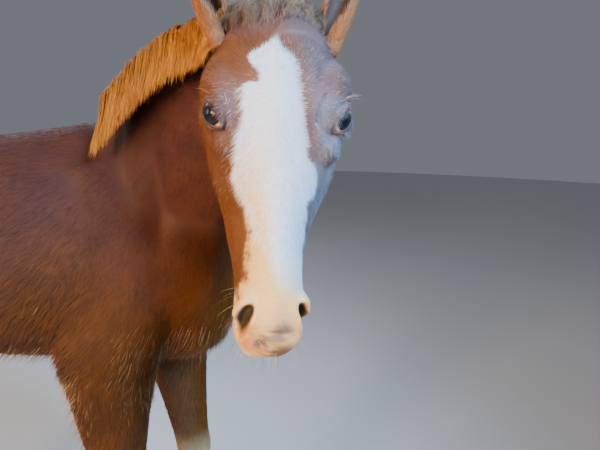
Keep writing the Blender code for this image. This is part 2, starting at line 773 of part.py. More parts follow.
def ear_form(side):
    """The solid ear and the scoop that hollows it, along a gently curved axis."""
    base = in_head(EAR_BASE[0], side * EAR_BASE[1], EAR_BASE[2])
    way = unit(np.array(ALONG) * EAR_WAY[0] + np.array(LEFT) * side * EAR_WAY[1] + np.array(FACE) * EAR_WAY[2])
    front = unit(np.array(FACE) - np.dot(FACE, way) * way)
    out = side * np.cross(way, front)
    shares = np.array((-0.14, 0.0, 0.15, 0.33, 0.52, 0.70, 0.86, 0.96, 1.0))
    widths = np.array((0.80, 0.92, 1.06, 1.16, 1.12, 0.92, 0.60, 0.28, 0.10)) * EAR_RADIUS
    solid, scoop = [], []
    for share, width in zip(shares, widths):
        turn = EAR_TURN_FOOT + (EAR_TURN_TIP - EAR_TURN_FOOT) * share
        opening = front * math.cos(turn) + out * math.sin(turn)
        across = np.cross(way, opening)
        middle = base + way * EAR_LENGTH * share + front * 0.010 * math.sin(math.pi * share)
        solid.append(section(middle, across, opening, width, width * 0.62, width * 0.86))
        if share > 0.1 and share < 0.97:
            inside = max(width - 0.0034, width * 0.45)
            scoop.append(section(middle + opening * width * 0.42, across, opening, inside, width * 0.9, width * 0.86))
    low = scoop[0].mean(0)
    scoop.insert(0, low - way * 0.012 + (scoop[0] - low) * 0.35)
    return tube(np.array(solid)[:, ::2]), tube(np.array(scoop)[:, ::2])


def eye_axes(side):
    """The way an eye looks, along its opening, and across it."""
    look = unit(np.array(LEFT) * side * 0.79 + np.array(FACE) * 0.60 - np.array(ALONG) * 0.05)
    long = np.array(ALONG) * 0.66 + np.array(FACE) * 0.58 - np.array(LEFT) * side * 0.46
    long = unit(long - np.dot(long, look) * look)
    return look, long, np.cross(look, long)


def ball(side, radius, turns=18, climbs=10):
    """(points, faces) of an eyeball or its hollow, with its pole along the way the eye looks."""
    look, long, across = eye_axes(side)
    centre = in_head(EYE_PLACE[0], side * EYE_PLACE[1] + EYES_ASIDE, EYE_PLACE[2])
    turn = np.linspace(0, 2 * math.pi, turns, endpoint=False)
    rings = []
    for climb in np.linspace(-math.pi / 2, math.pi / 2, climbs + 1)[1:-1]:
        ring = np.outer(np.cos(turn), long) + np.outer(np.sin(turn), across)
        rings.append(centre + radius * (math.cos(climb) * ring + math.sin(climb) * look))
    points, faces = tube(np.array(rings))
    points[-2], points[-1] = centre - radius * look, centre + radius * look
    return points, faces


def eye_opening(side):
    """An almond prism that opens the lids in front of the ball."""
    look, long, across = eye_axes(side)
    centre = in_head(EYE_PLACE[0], side * EYE_PLACE[1] + EYES_ASIDE, EYE_PLACE[2])
    turn = np.linspace(0, 2 * math.pi, 24, endpoint=False)
    length, height = EYE_OPENING
    rim = np.outer(np.cos(turn) * length, long) + np.outer(np.sin(turn) * height * np.abs(np.sin(turn)) ** 0.35, across)
    rings = [centre + look * EYE_RADIUS * depth + rim * grow for depth, grow in ((0.35, 0.95), (1.0, 1.0), (1.7, 1.12))]
    return tube(np.array(rings))


def nostril_form(side):
    """A slanting hollow, wide in front and narrow behind."""
    out = unit(np.array(LEFT) * side * 0.66 + np.array(FACE) * 0.72 + np.array(ALONG) * 0.12)
    long = np.array(ALONG) * 0.95 - np.array(LEFT) * side * 0.26
    long = unit(long - np.dot(long, out) * out)
    across = np.cross(out, long)
    along, aside, back = NOSTRIL_PLACE
    return bulge(in_head(along, side * aside, back), (long, across, out), NOSTRIL_SIZE, 14, 7)


def mouth_blade(surface):
    """A thin curved blade along the line of the lips, sunk a few millimetres into them."""
    middle = in_head(0.318, 0, -0.074)
    along, left = np.array(ALONG), np.array(LEFT)
    drop = unit(np.array(ALONG) * 0.35 + np.array(FACE) * 0.94)
    rings = []
    for turn in np.linspace(-1.42, 1.42, 19):
        way = unit(along * math.cos(turn) + left * math.sin(turn) - np.array(FACE) * 0.13 * math.cos(turn))
        hit = surface.ray_cast(Vector(middle + way * 0.12), Vector(-way))[0]
        edge = np.array(hit) if hit is not None else middle + way * 0.04
        depth = 0.0075 * math.cos(turn * 0.62)
        thin = 0.0007
        rings.append([
            edge - way * depth - drop * thin, edge - way * depth + drop * thin,
            edge + way * 0.012 + drop * thin * 2, edge + way * 0.012 - drop * thin * 2,
        ])
    return tube(np.array(rings))


def paint(made, colour, roughness, metallic=0.0):
    coat = bpy.data.materials.new(made.name)
    coat.use_nodes = True
    shader = coat.node_tree.nodes["Principled BSDF"]
    shader.inputs["Base Color"].default_value = (*colour, 1.0)
    shader.inputs["Roughness"].default_value = roughness
    shader.inputs["Metallic"].default_value = metallic
    made.data.materials.clear()
    made.data.materials.append(coat)
    made.data.polygons.foreach_set("use_smooth", [True] * len(made.data.polygons))


def main():
    clear_scene()
    chance = random.Random(41)
    neck, head_shapes = neck_form(), [head_form(), *head_bulges()]
    flesh = [trunk_form(), neck, *head_shapes, *body_bulges(), tail_form()] + [leg_form(leg) for leg in LEGS]
    body = fused("body", flesh, 0.006, 16)
    thinned(body, BODY_TRIANGLES)
    skin = surface_of(body)

    plates = [
        plate("neck cut", *NECK_CUT, (0, 1, 0), 0.150, 0.168),
        plate("head cut", *HEAD_CUT, (1, 0, 0), 0.150, 0.130),
        plate("tail cut", TAIL_CUT, (1, 0, 0), (0, 1, 0), 0.075, 0.090),
    ]
    for leg in LEGS:
        plates += leg_plates(leg)
    combine(body, plates, "DIFFERENCE")

    label = islands(body)
    where = places(body)
    marks = {"torso": (-0.30, 0.0, 1.03), "neck": (0.13, -0.18, 1.08), "tail": (-0.81, 0.0, 0.75)}
    for leg in LEGS:
        marks[leg + "_upper"] = leg_line(leg, 0.50)
        marks[leg + "_lower"] = leg_line(leg, 0.22)
    nodes = {}
    for name, mark in marks.items():
        nearest = np.linalg.norm(where - np.asarray(mark), axis=1).argmin()
        nodes[name] = piece(body, name, label == label[nearest])
    bpy.data.objects.remove(body)

    head = fused("head", [*head_shapes, tube(neck_rings()[-16:])], 0.0025, 12)
    thinned(head, HEAD_TRIANGLES)
    face = surface_of(head)
    point, normal = (np.asarray(value, float) for value in HEAD_CUT)
    normal = unit(normal)
    left = unit(np.cross(normal, (0, 0, 1)))
    behind = block("behind", point - normal * (0.5 - GAP / 2), (left, np.cross(normal, left), normal), (0.5, 0.5, 0.5))
    holes = [behind, make_object("mouth", *mouth_blade(face))]
    for side in (-1, 1):
        holes.append(make_object("hollow", *ball(side, EYE_RADIUS + GAP + 0.0001)))
        holes.append(make_object("opening", *eye_opening(side)))
        holes.append(make_object("nostril", *nostril_form(side)))
    combine(head, holes, "DIFFERENCE")
    largest(head)
    nodes["head"] = head

    ears = []
    for side, name in ((-1, "right"), (1, "left")):
        solid, scoop = ear_form(side)
        ear = make_object("ear_" + name, *solid)
        combine(ear, [grown("trim", head, GAP + 0.0002)], "DIFFERENCE")
        largest(ear)
        room = grown("room", ear, GAP + 0.0002)
        combine(nodes["neck"], [room], "DIFFERENCE")
        combine(ear, [make_object("scoop", *scoop)], "DIFFERENCE")
        largest(ear)
        thinned(ear, EAR_TRIANGLES)
        ears.append(surface_of(ear))
        nodes["ear_" + name] = ear
        nodes["eye_" + name] = make_object("eye_" + name, *ball(side, EYE_RADIUS))
    largest(nodes["neck"])

    combine(nodes["neck"], mane_locks(skin, ears, MANE_LOCKS, chance), "UNION")
    combine(head, forelock_locks(face, FORELOCK_LOCKS, chance), "UNION")
    turn_muzzle(head)
    combine(nodes["tail"], tail_locks(TAIL_LOCKS, chance), "UNION")
    for leg in LEGS:
        combine(nodes[leg + "_lower"], feather_locks(leg, FEATHER_LOCKS, chance), "UNION")
        nodes[leg + "_hoof"] = make_object(leg + "_hoof", *hoof_form(leg))
    for name in ["neck", "head", "tail"] + [leg + "_lower" for leg in LEGS]:
        largest(nodes[name])

    for name, made in nodes.items():
        move_to(made, places(made) + np.array(CENTRE_SHIFT))
        kind = name.split("_")[-1] if name.split("_")[-1] in COLOURS else name.split("_")[0]
        colour, roughness = COLOURS[kind]
        paint(made, colour, roughness)


main()
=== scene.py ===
import math

import bmesh
import bpy
import numpy as np
from bpy.props import FloatProperty, FloatVectorProperty, IntProperty, PointerProperty
from mathutils import Matrix, Vector


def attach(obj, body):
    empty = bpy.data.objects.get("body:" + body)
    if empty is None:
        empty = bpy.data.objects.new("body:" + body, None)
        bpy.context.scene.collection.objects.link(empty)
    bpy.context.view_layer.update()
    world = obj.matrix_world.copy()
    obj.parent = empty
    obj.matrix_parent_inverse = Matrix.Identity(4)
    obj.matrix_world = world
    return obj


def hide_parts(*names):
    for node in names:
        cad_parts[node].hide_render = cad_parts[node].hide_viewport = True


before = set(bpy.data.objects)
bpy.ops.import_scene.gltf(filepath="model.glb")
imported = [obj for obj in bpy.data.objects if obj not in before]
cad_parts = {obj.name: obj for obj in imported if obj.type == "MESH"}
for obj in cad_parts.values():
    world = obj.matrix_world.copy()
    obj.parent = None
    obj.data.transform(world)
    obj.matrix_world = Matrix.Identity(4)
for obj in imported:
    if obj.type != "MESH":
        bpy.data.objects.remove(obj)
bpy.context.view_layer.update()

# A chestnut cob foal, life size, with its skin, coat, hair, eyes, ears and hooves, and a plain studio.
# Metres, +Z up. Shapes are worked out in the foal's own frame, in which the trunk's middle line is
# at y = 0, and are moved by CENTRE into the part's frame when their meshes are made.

bl_info = {
    "name": "Cob foal",
    "version": (1, 0, 0),
    "blender": (4, 5, 0),
    "location": "3D View > Sidebar > Foal",
    "description": "Skin, coat, mane, tail, eyes, ears and hooves of a standing cob foal",
    "category": "Add Mesh",
}

BODY = "root"
CENTRE = np.array((0.2518, 0.0921, 0.0))
UV_NAME = "OFBake"
COAT_ATTRIBUTE = "coat"

# Trunk stations: forward, top, bottom, half width, level of the widest point, upper and lower roundness
TRUNK = (
    (0.192, 0.900, 0.765, 0.058, 0.42, 2.1, 2.1),
    (0.172, 0.950, 0.688, 0.094, 0.42, 2.1, 2.1),
    (0.125, 0.995, 0.650, 0.118, 0.42, 1.9, 2.1),
    (0.055, 1.032, 0.636, 0.124, 0.42, 1.7, 2.1),
    (-0.030, 1.056, 0.638, 0.128, 0.42, 1.6, 2.0),
    (-0.110, 1.046, 0.636, 0.138, 0.42, 1.8, 2.1),
    (-0.220, 1.030, 0.640, 0.152, 0.44, 2.0, 2.1),
    (-0.340, 1.032, 0.652, 0.157, 0.46, 2.1, 2.1),
    (-0.440, 1.046, 0.676, 0.148, 0.50, 2.1, 2.1),
    (-0.530, 1.058, 0.715, 0.138, 0.55, 2.1, 2.0),
    (-0.620, 1.050, 0.755, 0.126, 0.55, 2.0, 2.0),
    (-0.700, 1.012, 0.790, 0.100, 0.55, 2.0, 2.0),
    (-0.752, 0.955, 0.835, 0.055, 0.50, 2.0, 2.0),
)

# Neck stations from the withers to behind the ears: crest point, throat point, half width
NECK = (
    (-0.060, 0.000, 1.040, 0.120, 0.000, 0.745, 0.094),
    (0.015, -0.030, 1.078, 0.180, -0.014, 0.835, 0.088),
    (0.080, -0.080, 1.118, 0.212, -0.052, 0.905, 0.077),
    (0.145, -0.140, 1.146, 0.240, -0.100, 0.962, 0.067),
    (0.212, -0.178, 1.160, 0.264, -0.142, 1.005, 0.060),
    (0.264, -0.216, 1.166, 0.288, -0.180, 1.035, 0.057),
    (0.290, -0.260, 1.160, 0.300, -0.225, 1.050, 0.050),
)

# Head frame: where the face line passes between the eyes, and how the head is turned
BROW_POINT = Vector((0.275, -0.292, 1.056))
BROW_ALONG = 0.130
NOSE_DROP = math.radians(17.0)
FACE_TURN = math.radians(8.0)
HEAD_TILT = math.radians(1.4)

# Head stations: along, face line, jaw line, half width, widest level, upper and lower roundness
HEAD = (
    (-0.034, -0.072, -0.096, 0.012, 0.50, 2.0, 2.0),
    (-0.022, -0.046, -0.116, 0.036, 0.50, 2.0, 2.0),
    (0.004, -0.019, -0.132, 0.053, 0.55, 2.1, 2.0),
    (0.040, -0.004, -0.150, 0.067, 0.60, 2.3, 1.9),
    (0.080, 0.006, -0.166, 0.082, 0.64, 2.4, 1.8),
    (0.125, 0.006, -0.170, 0.083, 0.64, 2.4, 1.8),
    (0.165, -0.003, -0.158, 0.077, 0.58, 2.0, 1.8),
    (0.205, -0.011, -0.140, 0.066, 0.50, 1.8, 2.2),
    (0.248, -0.016, -0.120, 0.051, 0.48, 1.8, 2.5),
    (0.290, -0.018, -0.104, 0.0415, 0.48, 1.9, 2.4),
    (0.334, -0.021, -0.098, 0.0390, 0.50, 2.1, 2.2),
    (0.368, -0.029, -0.098, 0.0385, 0.50, 2.3, 2.2),
    (0.392, -0.052, -0.082, 0.025, 0.50, 2.1, 2.1),
)

# Rounded forms that stand out of the plain head: place along, out and forward, and half sizes.
# Those with a place out to the side are made on both sides, and the second table's are moved with the eyes.
MUZZLE_BULGES = (
    ((0.360, 0.0, -0.052), (0.033, 0.037, 0.027)),
    ((0.354, 0.0, -0.088), (0.027, 0.028, 0.016)),
    ((0.330, 0.0, -0.095), (0.030, 0.025, 0.014)),
    ((0.340, 0.0290, -0.045), (0.027, 0.0145, 0.022)),
)
HEAD_BULGES = (
    ((0.125, 0.048, -0.036), (0.056, 0.036, 0.040)),
    ((0.098, 0.053, -0.038), (0.046, 0.035, 0.038)),
    ((0.131, 0.060, -0.027), (0.025, 0.025, 0.025)),
    ((0.105, 0.042, -0.112), (0.062, 0.026, 0.052)),
)

# Breast muscles, buttocks and hip points, on both sides
BODY_BULGES = (
    ((0.146, 0.046, 0.775), (0.050, 0.046, 0.080)),
    ((-0.692, 0.056, 0.885), (0.058, 0.052, 0.120)),
    ((-0.500, 0.084, 0.985), (0.090, 0.042, 0.050)),
)

# Leg stations: height, forward of the hoof, half length, half width
FORELEG = (
    (0.015, 0.024, 0.034, 0.034),
    (0.052, 0.018, 0.0355, 0.0365),
    (0.082, 0.010, 0.030, 0.030),
    (0.128, 0.000, 0.037, 0.034),
    (0.170, 0.000, 0.029, 0.026),
    (0.240, 0.000, 0.028, 0.024),
    (0.310, 0.001, 0.031, 0.029),
    (0.365, 0.005, 0.038, 0.040),
    (0.415, 0.002, 0.041, 0.038),
    (0.500, -0.002, 0.053, 0.043),
    (0.590, -0.006, 0.068, 0.052),
    (0.670, -0.004, 0.082, 0.056),
    (0.760, 0.020, 0.092, 0.052),
    (0.880, 0.010, 0.078, 0.040),
    (0.985, -0.020, 0.055, 0.020),
)
HIND_LEG = (
    (0.015, 0.024, 0.034, 0.034),
    (0.052, 0.018, 0.0355, 0.0365),
    (0.084, 0.009, 0.030, 0.030),
    (0.134, -0.003, 0.038, 0.034),
    (0.180, -0.005, 0.030, 0.026),
    (0.260, -0.007, 0.030, 0.025),
    (0.345, -0.011, 0.034, 0.029),
    (0.415, -0.015, 0.050, 0.039),
    (0.462, -0.018, 0.053, 0.035),
    (0.515, 0.008, 0.044, 0.032),
    (0.590, 0.050, 0.060, 0.044),
    (0.680, 0.098, 0.096, 0.060),
    (0.780, 0.100, 0.128, 0.066),
    (0.890, 0.080, 0.128, 0.058),
    (0.990, 0.085, 0.085, 0.036),
)

# Each leg: side, how far forward its hoof stands, the forward place of its upper end, stations, way out
LEGS = {
    "foreleg_right": (-1, -0.006, 0.000, FORELEG, 0.096),
    "foreleg_left": (1, 0.110, 0.045, FORELEG, 0.096),
    "hindleg_right": (-1, -0.735, -0.700, HIND_LEG, 0.094),
    "hindleg_left": (1, -0.650, -0.700, HIND_LEG, 0.094),
}
LEG_TOP = 0.68

# Tail stations: forward, height, half width, half depth
TAIL = (
    (-0.660, 0.985, 0.026, 0.026),
    (-0.745, 0.992, 0.024, 0.022),
    (-0.794, 0.962, 0.022, 0.020),
    (-0.819, 0.890, 0.018, 0.017),
    (-0.824, 0.800, 0.013, 0.012),
    (-0.818, 0.730, 0.006, 0.006),
)

# Eyes: place in the head, how far the two and their brows are moved to the left, the ball's radius, and the
# opening's half length and height
EYE_PLACE = (0.1270, 0.0625, -0.0240)
EYES_SHIFT = (0.0, 0.003, 0.0)
EYE_RADIUS = 0.0190
EYE_OPENING = (0.0167, 0.0084)

# Nostrils: place in the head and half sizes along and across the opening
NOSTRIL_PLACE = (0.3505, 0.0378, -0.0350)
NOSTRIL_SIZE = (0.0275, 0.0112)

# The muzzle turns to its left about the head's length and lies a little to the right, between two
# places along it, round a middle this far behind the face line
MUZZLE_TURN = math.radians(12.0)
MUZZLE_SHIFT = -0.0045
MUZZLE_SPAN = (0.150, 0.290)
MUZZLE_MIDDLE = -0.060

# The gaze out to the side, forward and down; the iris's half angle; a hoof's top height and slope
GAZE = (0.66, 0.70, 0.26)
IRIS_EDGE = 41.0
HOOF_TOP = 0.054
HOOF_SLOPE = math.radians(20.0)

# Hoof stations: height, forward of the leg's middle, half length, half width
HOOF = (
    (0.0, 0.0250, 0.0405, 0.0375),
    (0.003, 0.0250, 0.0420, 0.0390),
    (0.028, 0.0225, 0.0395, 0.0385),
    (0.050, 0.0200, 0.0370, 0.0375),
    (0.080, 0.0160, 0.0345, 0.0355),
)

# The tail's lowest tip and the forward place of its hanging middle
TAIL_TIP = 0.655
TAIL_MIDDLE = -0.822

# Size of each hair's patch of the unwrap, and the rounds of smoothing of the fused flesh and of the body
PATCH = 0.003
FUSED_ROUNDS = 12
BODY_ROUNDS = 70

# Studio: floor, sky, and soft lights with their place, aim, width, spread, power and colour
FLOOR_REACH = 14.0
SKY_COLOUR = (0.78, 0.84, 0.95, 1.0)
SKY_STRENGTH = 0.22
LIGHTS = (
    ("key", (-1.5, -2.5, 1.5), "head", 0.9, 180.0, 92.0, (1.0, 0.68, 0.38)),
    ("warm side", (-0.3, -2.1, 0.95), "nose", 0.5, 18.0, 1.2, (1.0, 0.58, 0.24)),
    ("cool side", (1.9, -1.5, 2.3), "head", 0.9, 55.0, 18.0, (0.38, 0.66, 1.0)),
    ("back", (-1.2, 1.9, 3.0), "body", 1.8, 180.0, 50.0, (0.80, 0.85, 1.0)),
    ("rear side", (-3.0, -0.4, 1.7), "body", 1.6, 180.0, 30.0, (1.0, 0.85, 0.68)),
)

# Camera: where it stands, focal length, the angle it looks down, and its roll
CAMERA_PLACE = (0.5528, -0.6879, 1.03)
LENS = 27.06
CAMERA_DROP = 11.0
CAMERA_ROLL = 1.2

# Ears: place in the head, the way each points there, length, base radius, turn outward at foot and tip,
# and how far round from the back each edge of the cup reaches at stations along it
EAR_BASE = (0.031, 0.064, -0.045)
EAR_WAY = (-0.96, 0.27, -0.02)
EAR_LENGTH = 0.124
EAR_RADIUS = 0.0163
EAR_TURNS = (math.radians(-38.0), math.radians(22.0))
EAR_STATIONS = (-0.1, 0.06, 0.20, 0.45, 0.8, 1.0)
EAR_REACHES = (3.05, 2.9, 2.45, 2.05, 1.95, 1.85)

# Raised and sunk forms of the face: name, place in the head, reach along, out and forward, height
FACE_FORMS = (
    ("brow ridge", (0.108, 0.067, -0.010), (0.018, 0.012, 0.014), 0.0035),
    ("hollow over the eye", (0.084, 0.056, -0.006), (0.014, 0.012, 0.012), -0.0040),
    ("tear hollow", (0.158, 0.052, -0.012), (0.016, 0.010, 0.012), -0.0030),
    ("face crest", (0.195, 0.062, -0.056), (0.040, 0.014, 0.007), 0.0035),
    ("under the crest", (0.205, 0.058, -0.082), (0.040, 0.016, 0.014), -0.0030),
    ("cheek edge", (0.150, 0.058, -0.140), (0.040, 0.020, 0.012), 0.0030),
    ("nose side", (0.262, 0.036, -0.040), (0.036, 0.012, 0.012), -0.0025),
    ("nostril flap", (0.326, 0.038, -0.024), (0.012, 0.010, 0.010), 0.0022),
    ("nostril outer rim", (0.350, 0.046, -0.040), (0.010, 0.008, 0.010), 0.0022),
    ("corner of the mouth", (0.322, 0.038, -0.082), (0.008, 0.010, 0.007), -0.0030),
    ("chin groove", (0.298, 0.0, -0.108), (0.012, 0.030, 0.012), -0.0040),
    ("philtrum", (0.378, 0.0, -0.038), (0.022, 0.005, 0.020), -0.0016),
)

# Folds of the muzzle, each on one side only: name, place in the head, reach, height
MUZZLE_FORMS = (
    ("lip lobe", (0.377, -0.029, -0.044), (0.009, 0.008, 0.012), 0.0032),
    ("mouth corner", (0.371, -0.0165, -0.031), (0.007, 0.0045, 0.012), -0.0040),
    ("rim under the nostril", (0.366, -0.032, -0.038), (0.005, 0.010, 0.014), 0.0022),
    ("slanting fold", (0.3565, -0.003, -0.024), (0.0034, 0.012, 0.010), 0.0022),
    ("under the fold", (0.3640, 0.000, -0.026), (0.0045, 0.014, 0.010), -0.0026),
    ("chin middle", (0.380, 0.004, -0.042), (0.008, 0.014, 0.014), 0.0024),
    ("left lip", (0.372, 0.026, -0.045), (0.010, 0.008, 0.016), 0.0016),
)

# Colours laid on the muzzle: place in the head, reach, which colour, and how much of it. The dark marks at
# the mouth's corner and under the slanting fold are painted shade in the folds of the lips, and the brown
# mark is painted shade on the lower lip.
MUZZLE_MARKS = (
    ((0.350, 0.004, -0.030), (0.0220, 0.0240, 0.030), "lip", 0.80),
    ((0.356, 0.034, -0.040), (0.0200, 0.0120, 0.026), "dusky", 0.35),
    ((0.360, -0.032, -0.034), (0.0100, 0.0120, 0.024), "peach", 0.95),
    ((0.375, -0.031, -0.036), (0.0090, 0.0100, 0.020), "peach", 0.80),
    ((0.373, -0.0170, -0.033), (0.0080, 0.0080, 0.016), "fold_shade", 0.95),
    ((0.3685, -0.005, -0.028), (0.0055, 0.0150, 0.014), "fold_shade", 0.70),
    ((0.3600, 0.006, -0.028), (0.0090, 0.0150, 0.018), "dusky", 0.95),
    ((0.384, 0.006, -0.036), (0.0110, 0.0220, 0.024), "brown", 0.95),
)

# Raised and sunk forms of the body: name, place, reach, height; those off the middle are on both sides
BODY_FORMS = (
    ("shoulder blade front", (0.050, 0.110, 0.930), (0.020, 0.040, 0.090), 0.0050),
    ("groove before the blade", (0.088, 0.095, 0.930), (0.014, 0.040, 0.080), -0.0050),
    ("elbow", (-0.062, 0.125, 0.690), (0.026, 0.030, 0.030), 0.0060),
    ("behind the elbow", (-0.115, 0.120, 0.700), (0.024, 0.040, 0.060), -0.0050),
    ("breast groove", (0.190, 0.0, 0.790), (0.050, 0.018, 0.080), -0.0030),
    ("flank hollow", (-0.430, 0.130, 0.860), (0.045, 0.040, 0.070), -0.0080),
    ("hip point", (-0.485, 0.120, 0.985), (0.028, 0.030, 0.028), 0.0050),
    ("stifle", (-0.505, 0.140, 0.715), (0.034, 0.030, 0.036), 0.0060),
    ("thigh groove", (-0.690, 0.110, 0.800), (0.014, 0.030, 0.090), -0.0050),
    ("rib", (-0.200, 0.150, 0.850), (0.008, 0.030, 0.100), 0.0016),
    ("second rib", (-0.240, 0.150, 0.850), (0.008, 0.030, 0.100), 0.0016),
    ("third rib", (-0.280, 0.150, 0.850), (0.008, 0.030, 0.100), 0.0016),
)

# Half the width of the blaze's soft edge, and its edges in the head: along from the poll, and out to the left
BLAZE_SOFTNESS = 0.003
BLAZE_RIGHT_EDGE = (
    (0.046, -0.001), (0.054, -0.010), (0.0635, -0.023), (0.072, -0.034), (0.080, -0.027), (0.087, -0.021),
    (0.099, -0.021), (0.104, -0.038), (0.116, -0.038), (0.133, -0.036), (0.145, -0.037), (0.159, -0.0445),
    (0.183, -0.045), (0.194, -0.048), (0.212, -0.041), (0.230, -0.034), (0.250, -0.029), (0.287, -0.030),
    (0.305, -0.032), (0.320, -0.037), (0.332, -0.043), (0.345, -0.080),
)
BLAZE_LEFT_EDGE = (
    (0.046, 0.000), (0.054, 0.002), (0.063, 0.008), (0.070, 0.017), (0.082, 0.020), (0.100, 0.023),
    (0.121, 0.026), (0.139, 0.0275), (0.156, 0.030), (0.173, 0.035), (0.181, 0.042), (0.199, 0.050),
    (0.211, 0.045), (0.225, 0.036), (0.265, 0.037), (0.300, 0.037), (0.330, 0.044), (0.345, 0.080),
)

# The lie of the coat on the head: place in the head, way there, hair length, lift
HEAD_LIE = (
    ((0.045, 0.000, 0.000), (-1.0, 0.0, 0.0), 0.011, 0.20),
    ((0.090, 0.000, 0.004), (-1.0, 0.0, 0.0), 0.009, 0.16),
    ((0.118, 0.022, 0.004), (0.1, 1.0, 0.0), 0.008, 0.16),
    ((0.150, 0.000, 0.000), (1.0, 0.0, 0.0), 0.008, 0.14),
    ((0.160, 0.035, -0.005), (0.8, 0.6, 0.0), 0.009, 0.16),
    ((0.220, 0.000, -0.012), (1.0, 0.0, 0.0), 0.009, 0.12),
    ((0.225, 0.030, -0.020), (0.88, 0.42, -0.25), 0.010, 0.16),
    ((0.240, 0.045, -0.060), (0.80, 0.20, -0.55), 0.011, 0.16),
    ((0.310, 0.000, -0.018), (1.0, 0.0, 0.0), 0.006, 0.14),
    ((0.355, 0.020, -0.035), (1.0, 0.3, -0.1), 0.0035, 0.20),
    ((0.345, 0.040, -0.070), (0.8, 0.2, -0.5), 0.004, 0.25),
    ((0.340, 0.000, -0.105), (0.6, 0.0, -0.8), 0.010, 0.40),
    ((0.165, 0.065, -0.030), (0.75, 0.45, -0.5), 0.010, 0.16),
    ((0.130, 0.078, -0.060), (0.3, 0.1, -0.95), 0.012, 0.16),
    ((0.085, 0.072, -0.030), (-0.25, 0.5, -0.8), 0.011, 0.20),
    ((0.160, 0.068, -0.100), (0.35, 0.1, -0.93), 0.014, 0.18),
    ((0.200, 0.045, -0.135), (0.3, 0.0, -0.95), 0.022, 0.30),
    ((0.260, 0.030, -0.110), (0.55, 0.1, -0.8), 0.015, 0.25),
    ((0.050, 0.065, -0.060), (0.3, 0.3, -0.9), 0.015, 0.25),
    ((0.005, 0.000, -0.020), (-1.0, 0.0, -0.3), 0.014, 0.25),
)

# The lie of the coat on the neck and trunk: place, way, hair length, lift, and whether on both sides
BODY_LIE = (
    ((0.245, -0.170, 1.130), (-0.60, 0.60, -0.50), 0.0096, 0.099, False),
    ((0.275, -0.185, 1.020), (-0.35, 0.30, -0.90), 0.0115, 0.121, False),
    ((0.190, -0.120, 1.050), (-0.55, 0.42, -0.72), 0.0115, 0.11, False),
    ((0.235, -0.100, 0.960), (-0.25, 0.20, -0.95), 0.0141, 0.138, False),
    ((0.090, -0.040, 1.000), (-0.60, 0.20, -0.77), 0.0128, 0.11, False),
    ((-0.030, 0.000, 1.056), (-1.00, 0.00, 0.00), 0.0115, 0.11, True),
    ((-0.300, 0.000, 1.030), (-1.00, 0.00, 0.00), 0.0128, 0.11, True),
    ((0.060, 0.120, 0.880), (-0.45, 0.00, -0.90), 0.0128, 0.11, True),
    ((0.135, 0.100, 0.800), (-0.25, 0.35, -0.90), 0.0141, 0.138, True),
    ((0.185, 0.020, 0.830), (0.00, 0.15, -1.00), 0.028, 0.3, True),
    ((0.150, 0.030, 0.700), (-0.35, 0.00, -0.94), 0.042, 0.4, True),
    ((0.030, 0.000, 0.650), (-0.90, 0.00, -0.40), 0.036, 0.4, True),
    ((-0.060, 0.110, 0.700), (-0.60, 0.00, -0.80), 0.032, 0.35, True),
    ((-0.220, 0.150, 0.850), (-0.80, 0.00, -0.60), 0.0128, 0.11, True),
    ((-0.250, 0.020, 0.640), (-0.85, 0.00, -0.50), 0.036, 0.4, True),
    ((-0.220, 0.100, 0.690), (-0.75, 0.00, -0.66), 0.028, 0.3, True),
    ((-0.420, 0.130, 0.800), (-0.60, 0.00, -0.80), 0.0154, 0.138, True),
    ((-0.450, 0.000, 1.050), (-1.00, 0.00, -0.05), 0.0128, 0.11, True),
    ((-0.600, 0.060, 1.050), (-0.85, 0.10, -0.50), 0.0128, 0.11, True),
    ((-0.720, 0.050, 0.930), (-0.30, 0.05, -0.95), 0.0141, 0.121, True),
    ((-0.600, 0.140, 0.850), (-0.35, 0.00, -0.94), 0.0141, 0.121, True),
    ((-0.500, 0.130, 0.720), (-0.35, 0.00, -0.94), 0.0154, 0.138, True),
    ((-0.730, 0.050, 0.800), (-0.10, 0.00, -1.00), 0.028, 0.28, True),
)

# The lie of the coat down each leg: height, hair length, lift
LEG_LIE = (
    (0.600, 0.020, 0.22),
    (0.480, 0.016, 0.18),
    (0.360, 0.012, 0.15),
    (0.240, 0.012, 0.15),
    (0.140, 0.016, 0.20),
    (0.070, 0.014, 0.20),
)


def smooth(low, high, values):
    """0 below low, 1 above high, and an S-shaped rise between them."""
    share = np.clip((values - low) / (high - low), 0, 1)
    return share * share * (3 - 2 * share)


def units(vectors):
    """Each vector divided by its length."""
    return vectors / np.maximum(np.linalg.norm(vectors, axis=-1, keepdims=True), 1e-12)


def flat_to(vectors, normals):
    """Each vector with the part along its normal taken away, at unit length."""
    return units(vectors - (vectors * normals).sum(-1, keepdims=True) * normals)


def ripple(points, pitch, seed, waves=5):
    """A soft random field between about -1 and 1: a sum of sines in random ways, one wave per pitch."""
    draw = np.random.default_rng(seed)
    ways = units(draw.normal(size=(waves, 3))) * draw.uniform(0.6, 1.5, (waves, 1)) * math.tau / pitch
    phase = draw.uniform(0, math.tau, waves)
    return np.sin(points @ ways.T + phase).sum(-1) / waves * 1.6


def smooth_rows(rows, steps=8):
    """Catmull-Rom: each span between two rows is the cubic that meets its neighbours' slopes."""
    rows = np.asarray(rows, float)
    ends = np.vstack([2 * rows[0] - rows[1], rows, 2 * rows[-1] - rows[-2]])
    a, b, c, d = (ends[i:len(ends) - 3 + i, None] for i in range(4))
    s = (np.arange(steps) / steps)[None, :, None]
    spans = 0.5 * (2 * b + (c - a) * s + (2 * a - 5 * b + 4 * c - d) * s**2 + (3 * b - a - 3 * c + d) * s**3)
    return np.vstack([spans.reshape(-1, rows.shape[1]), rows[-1:]])


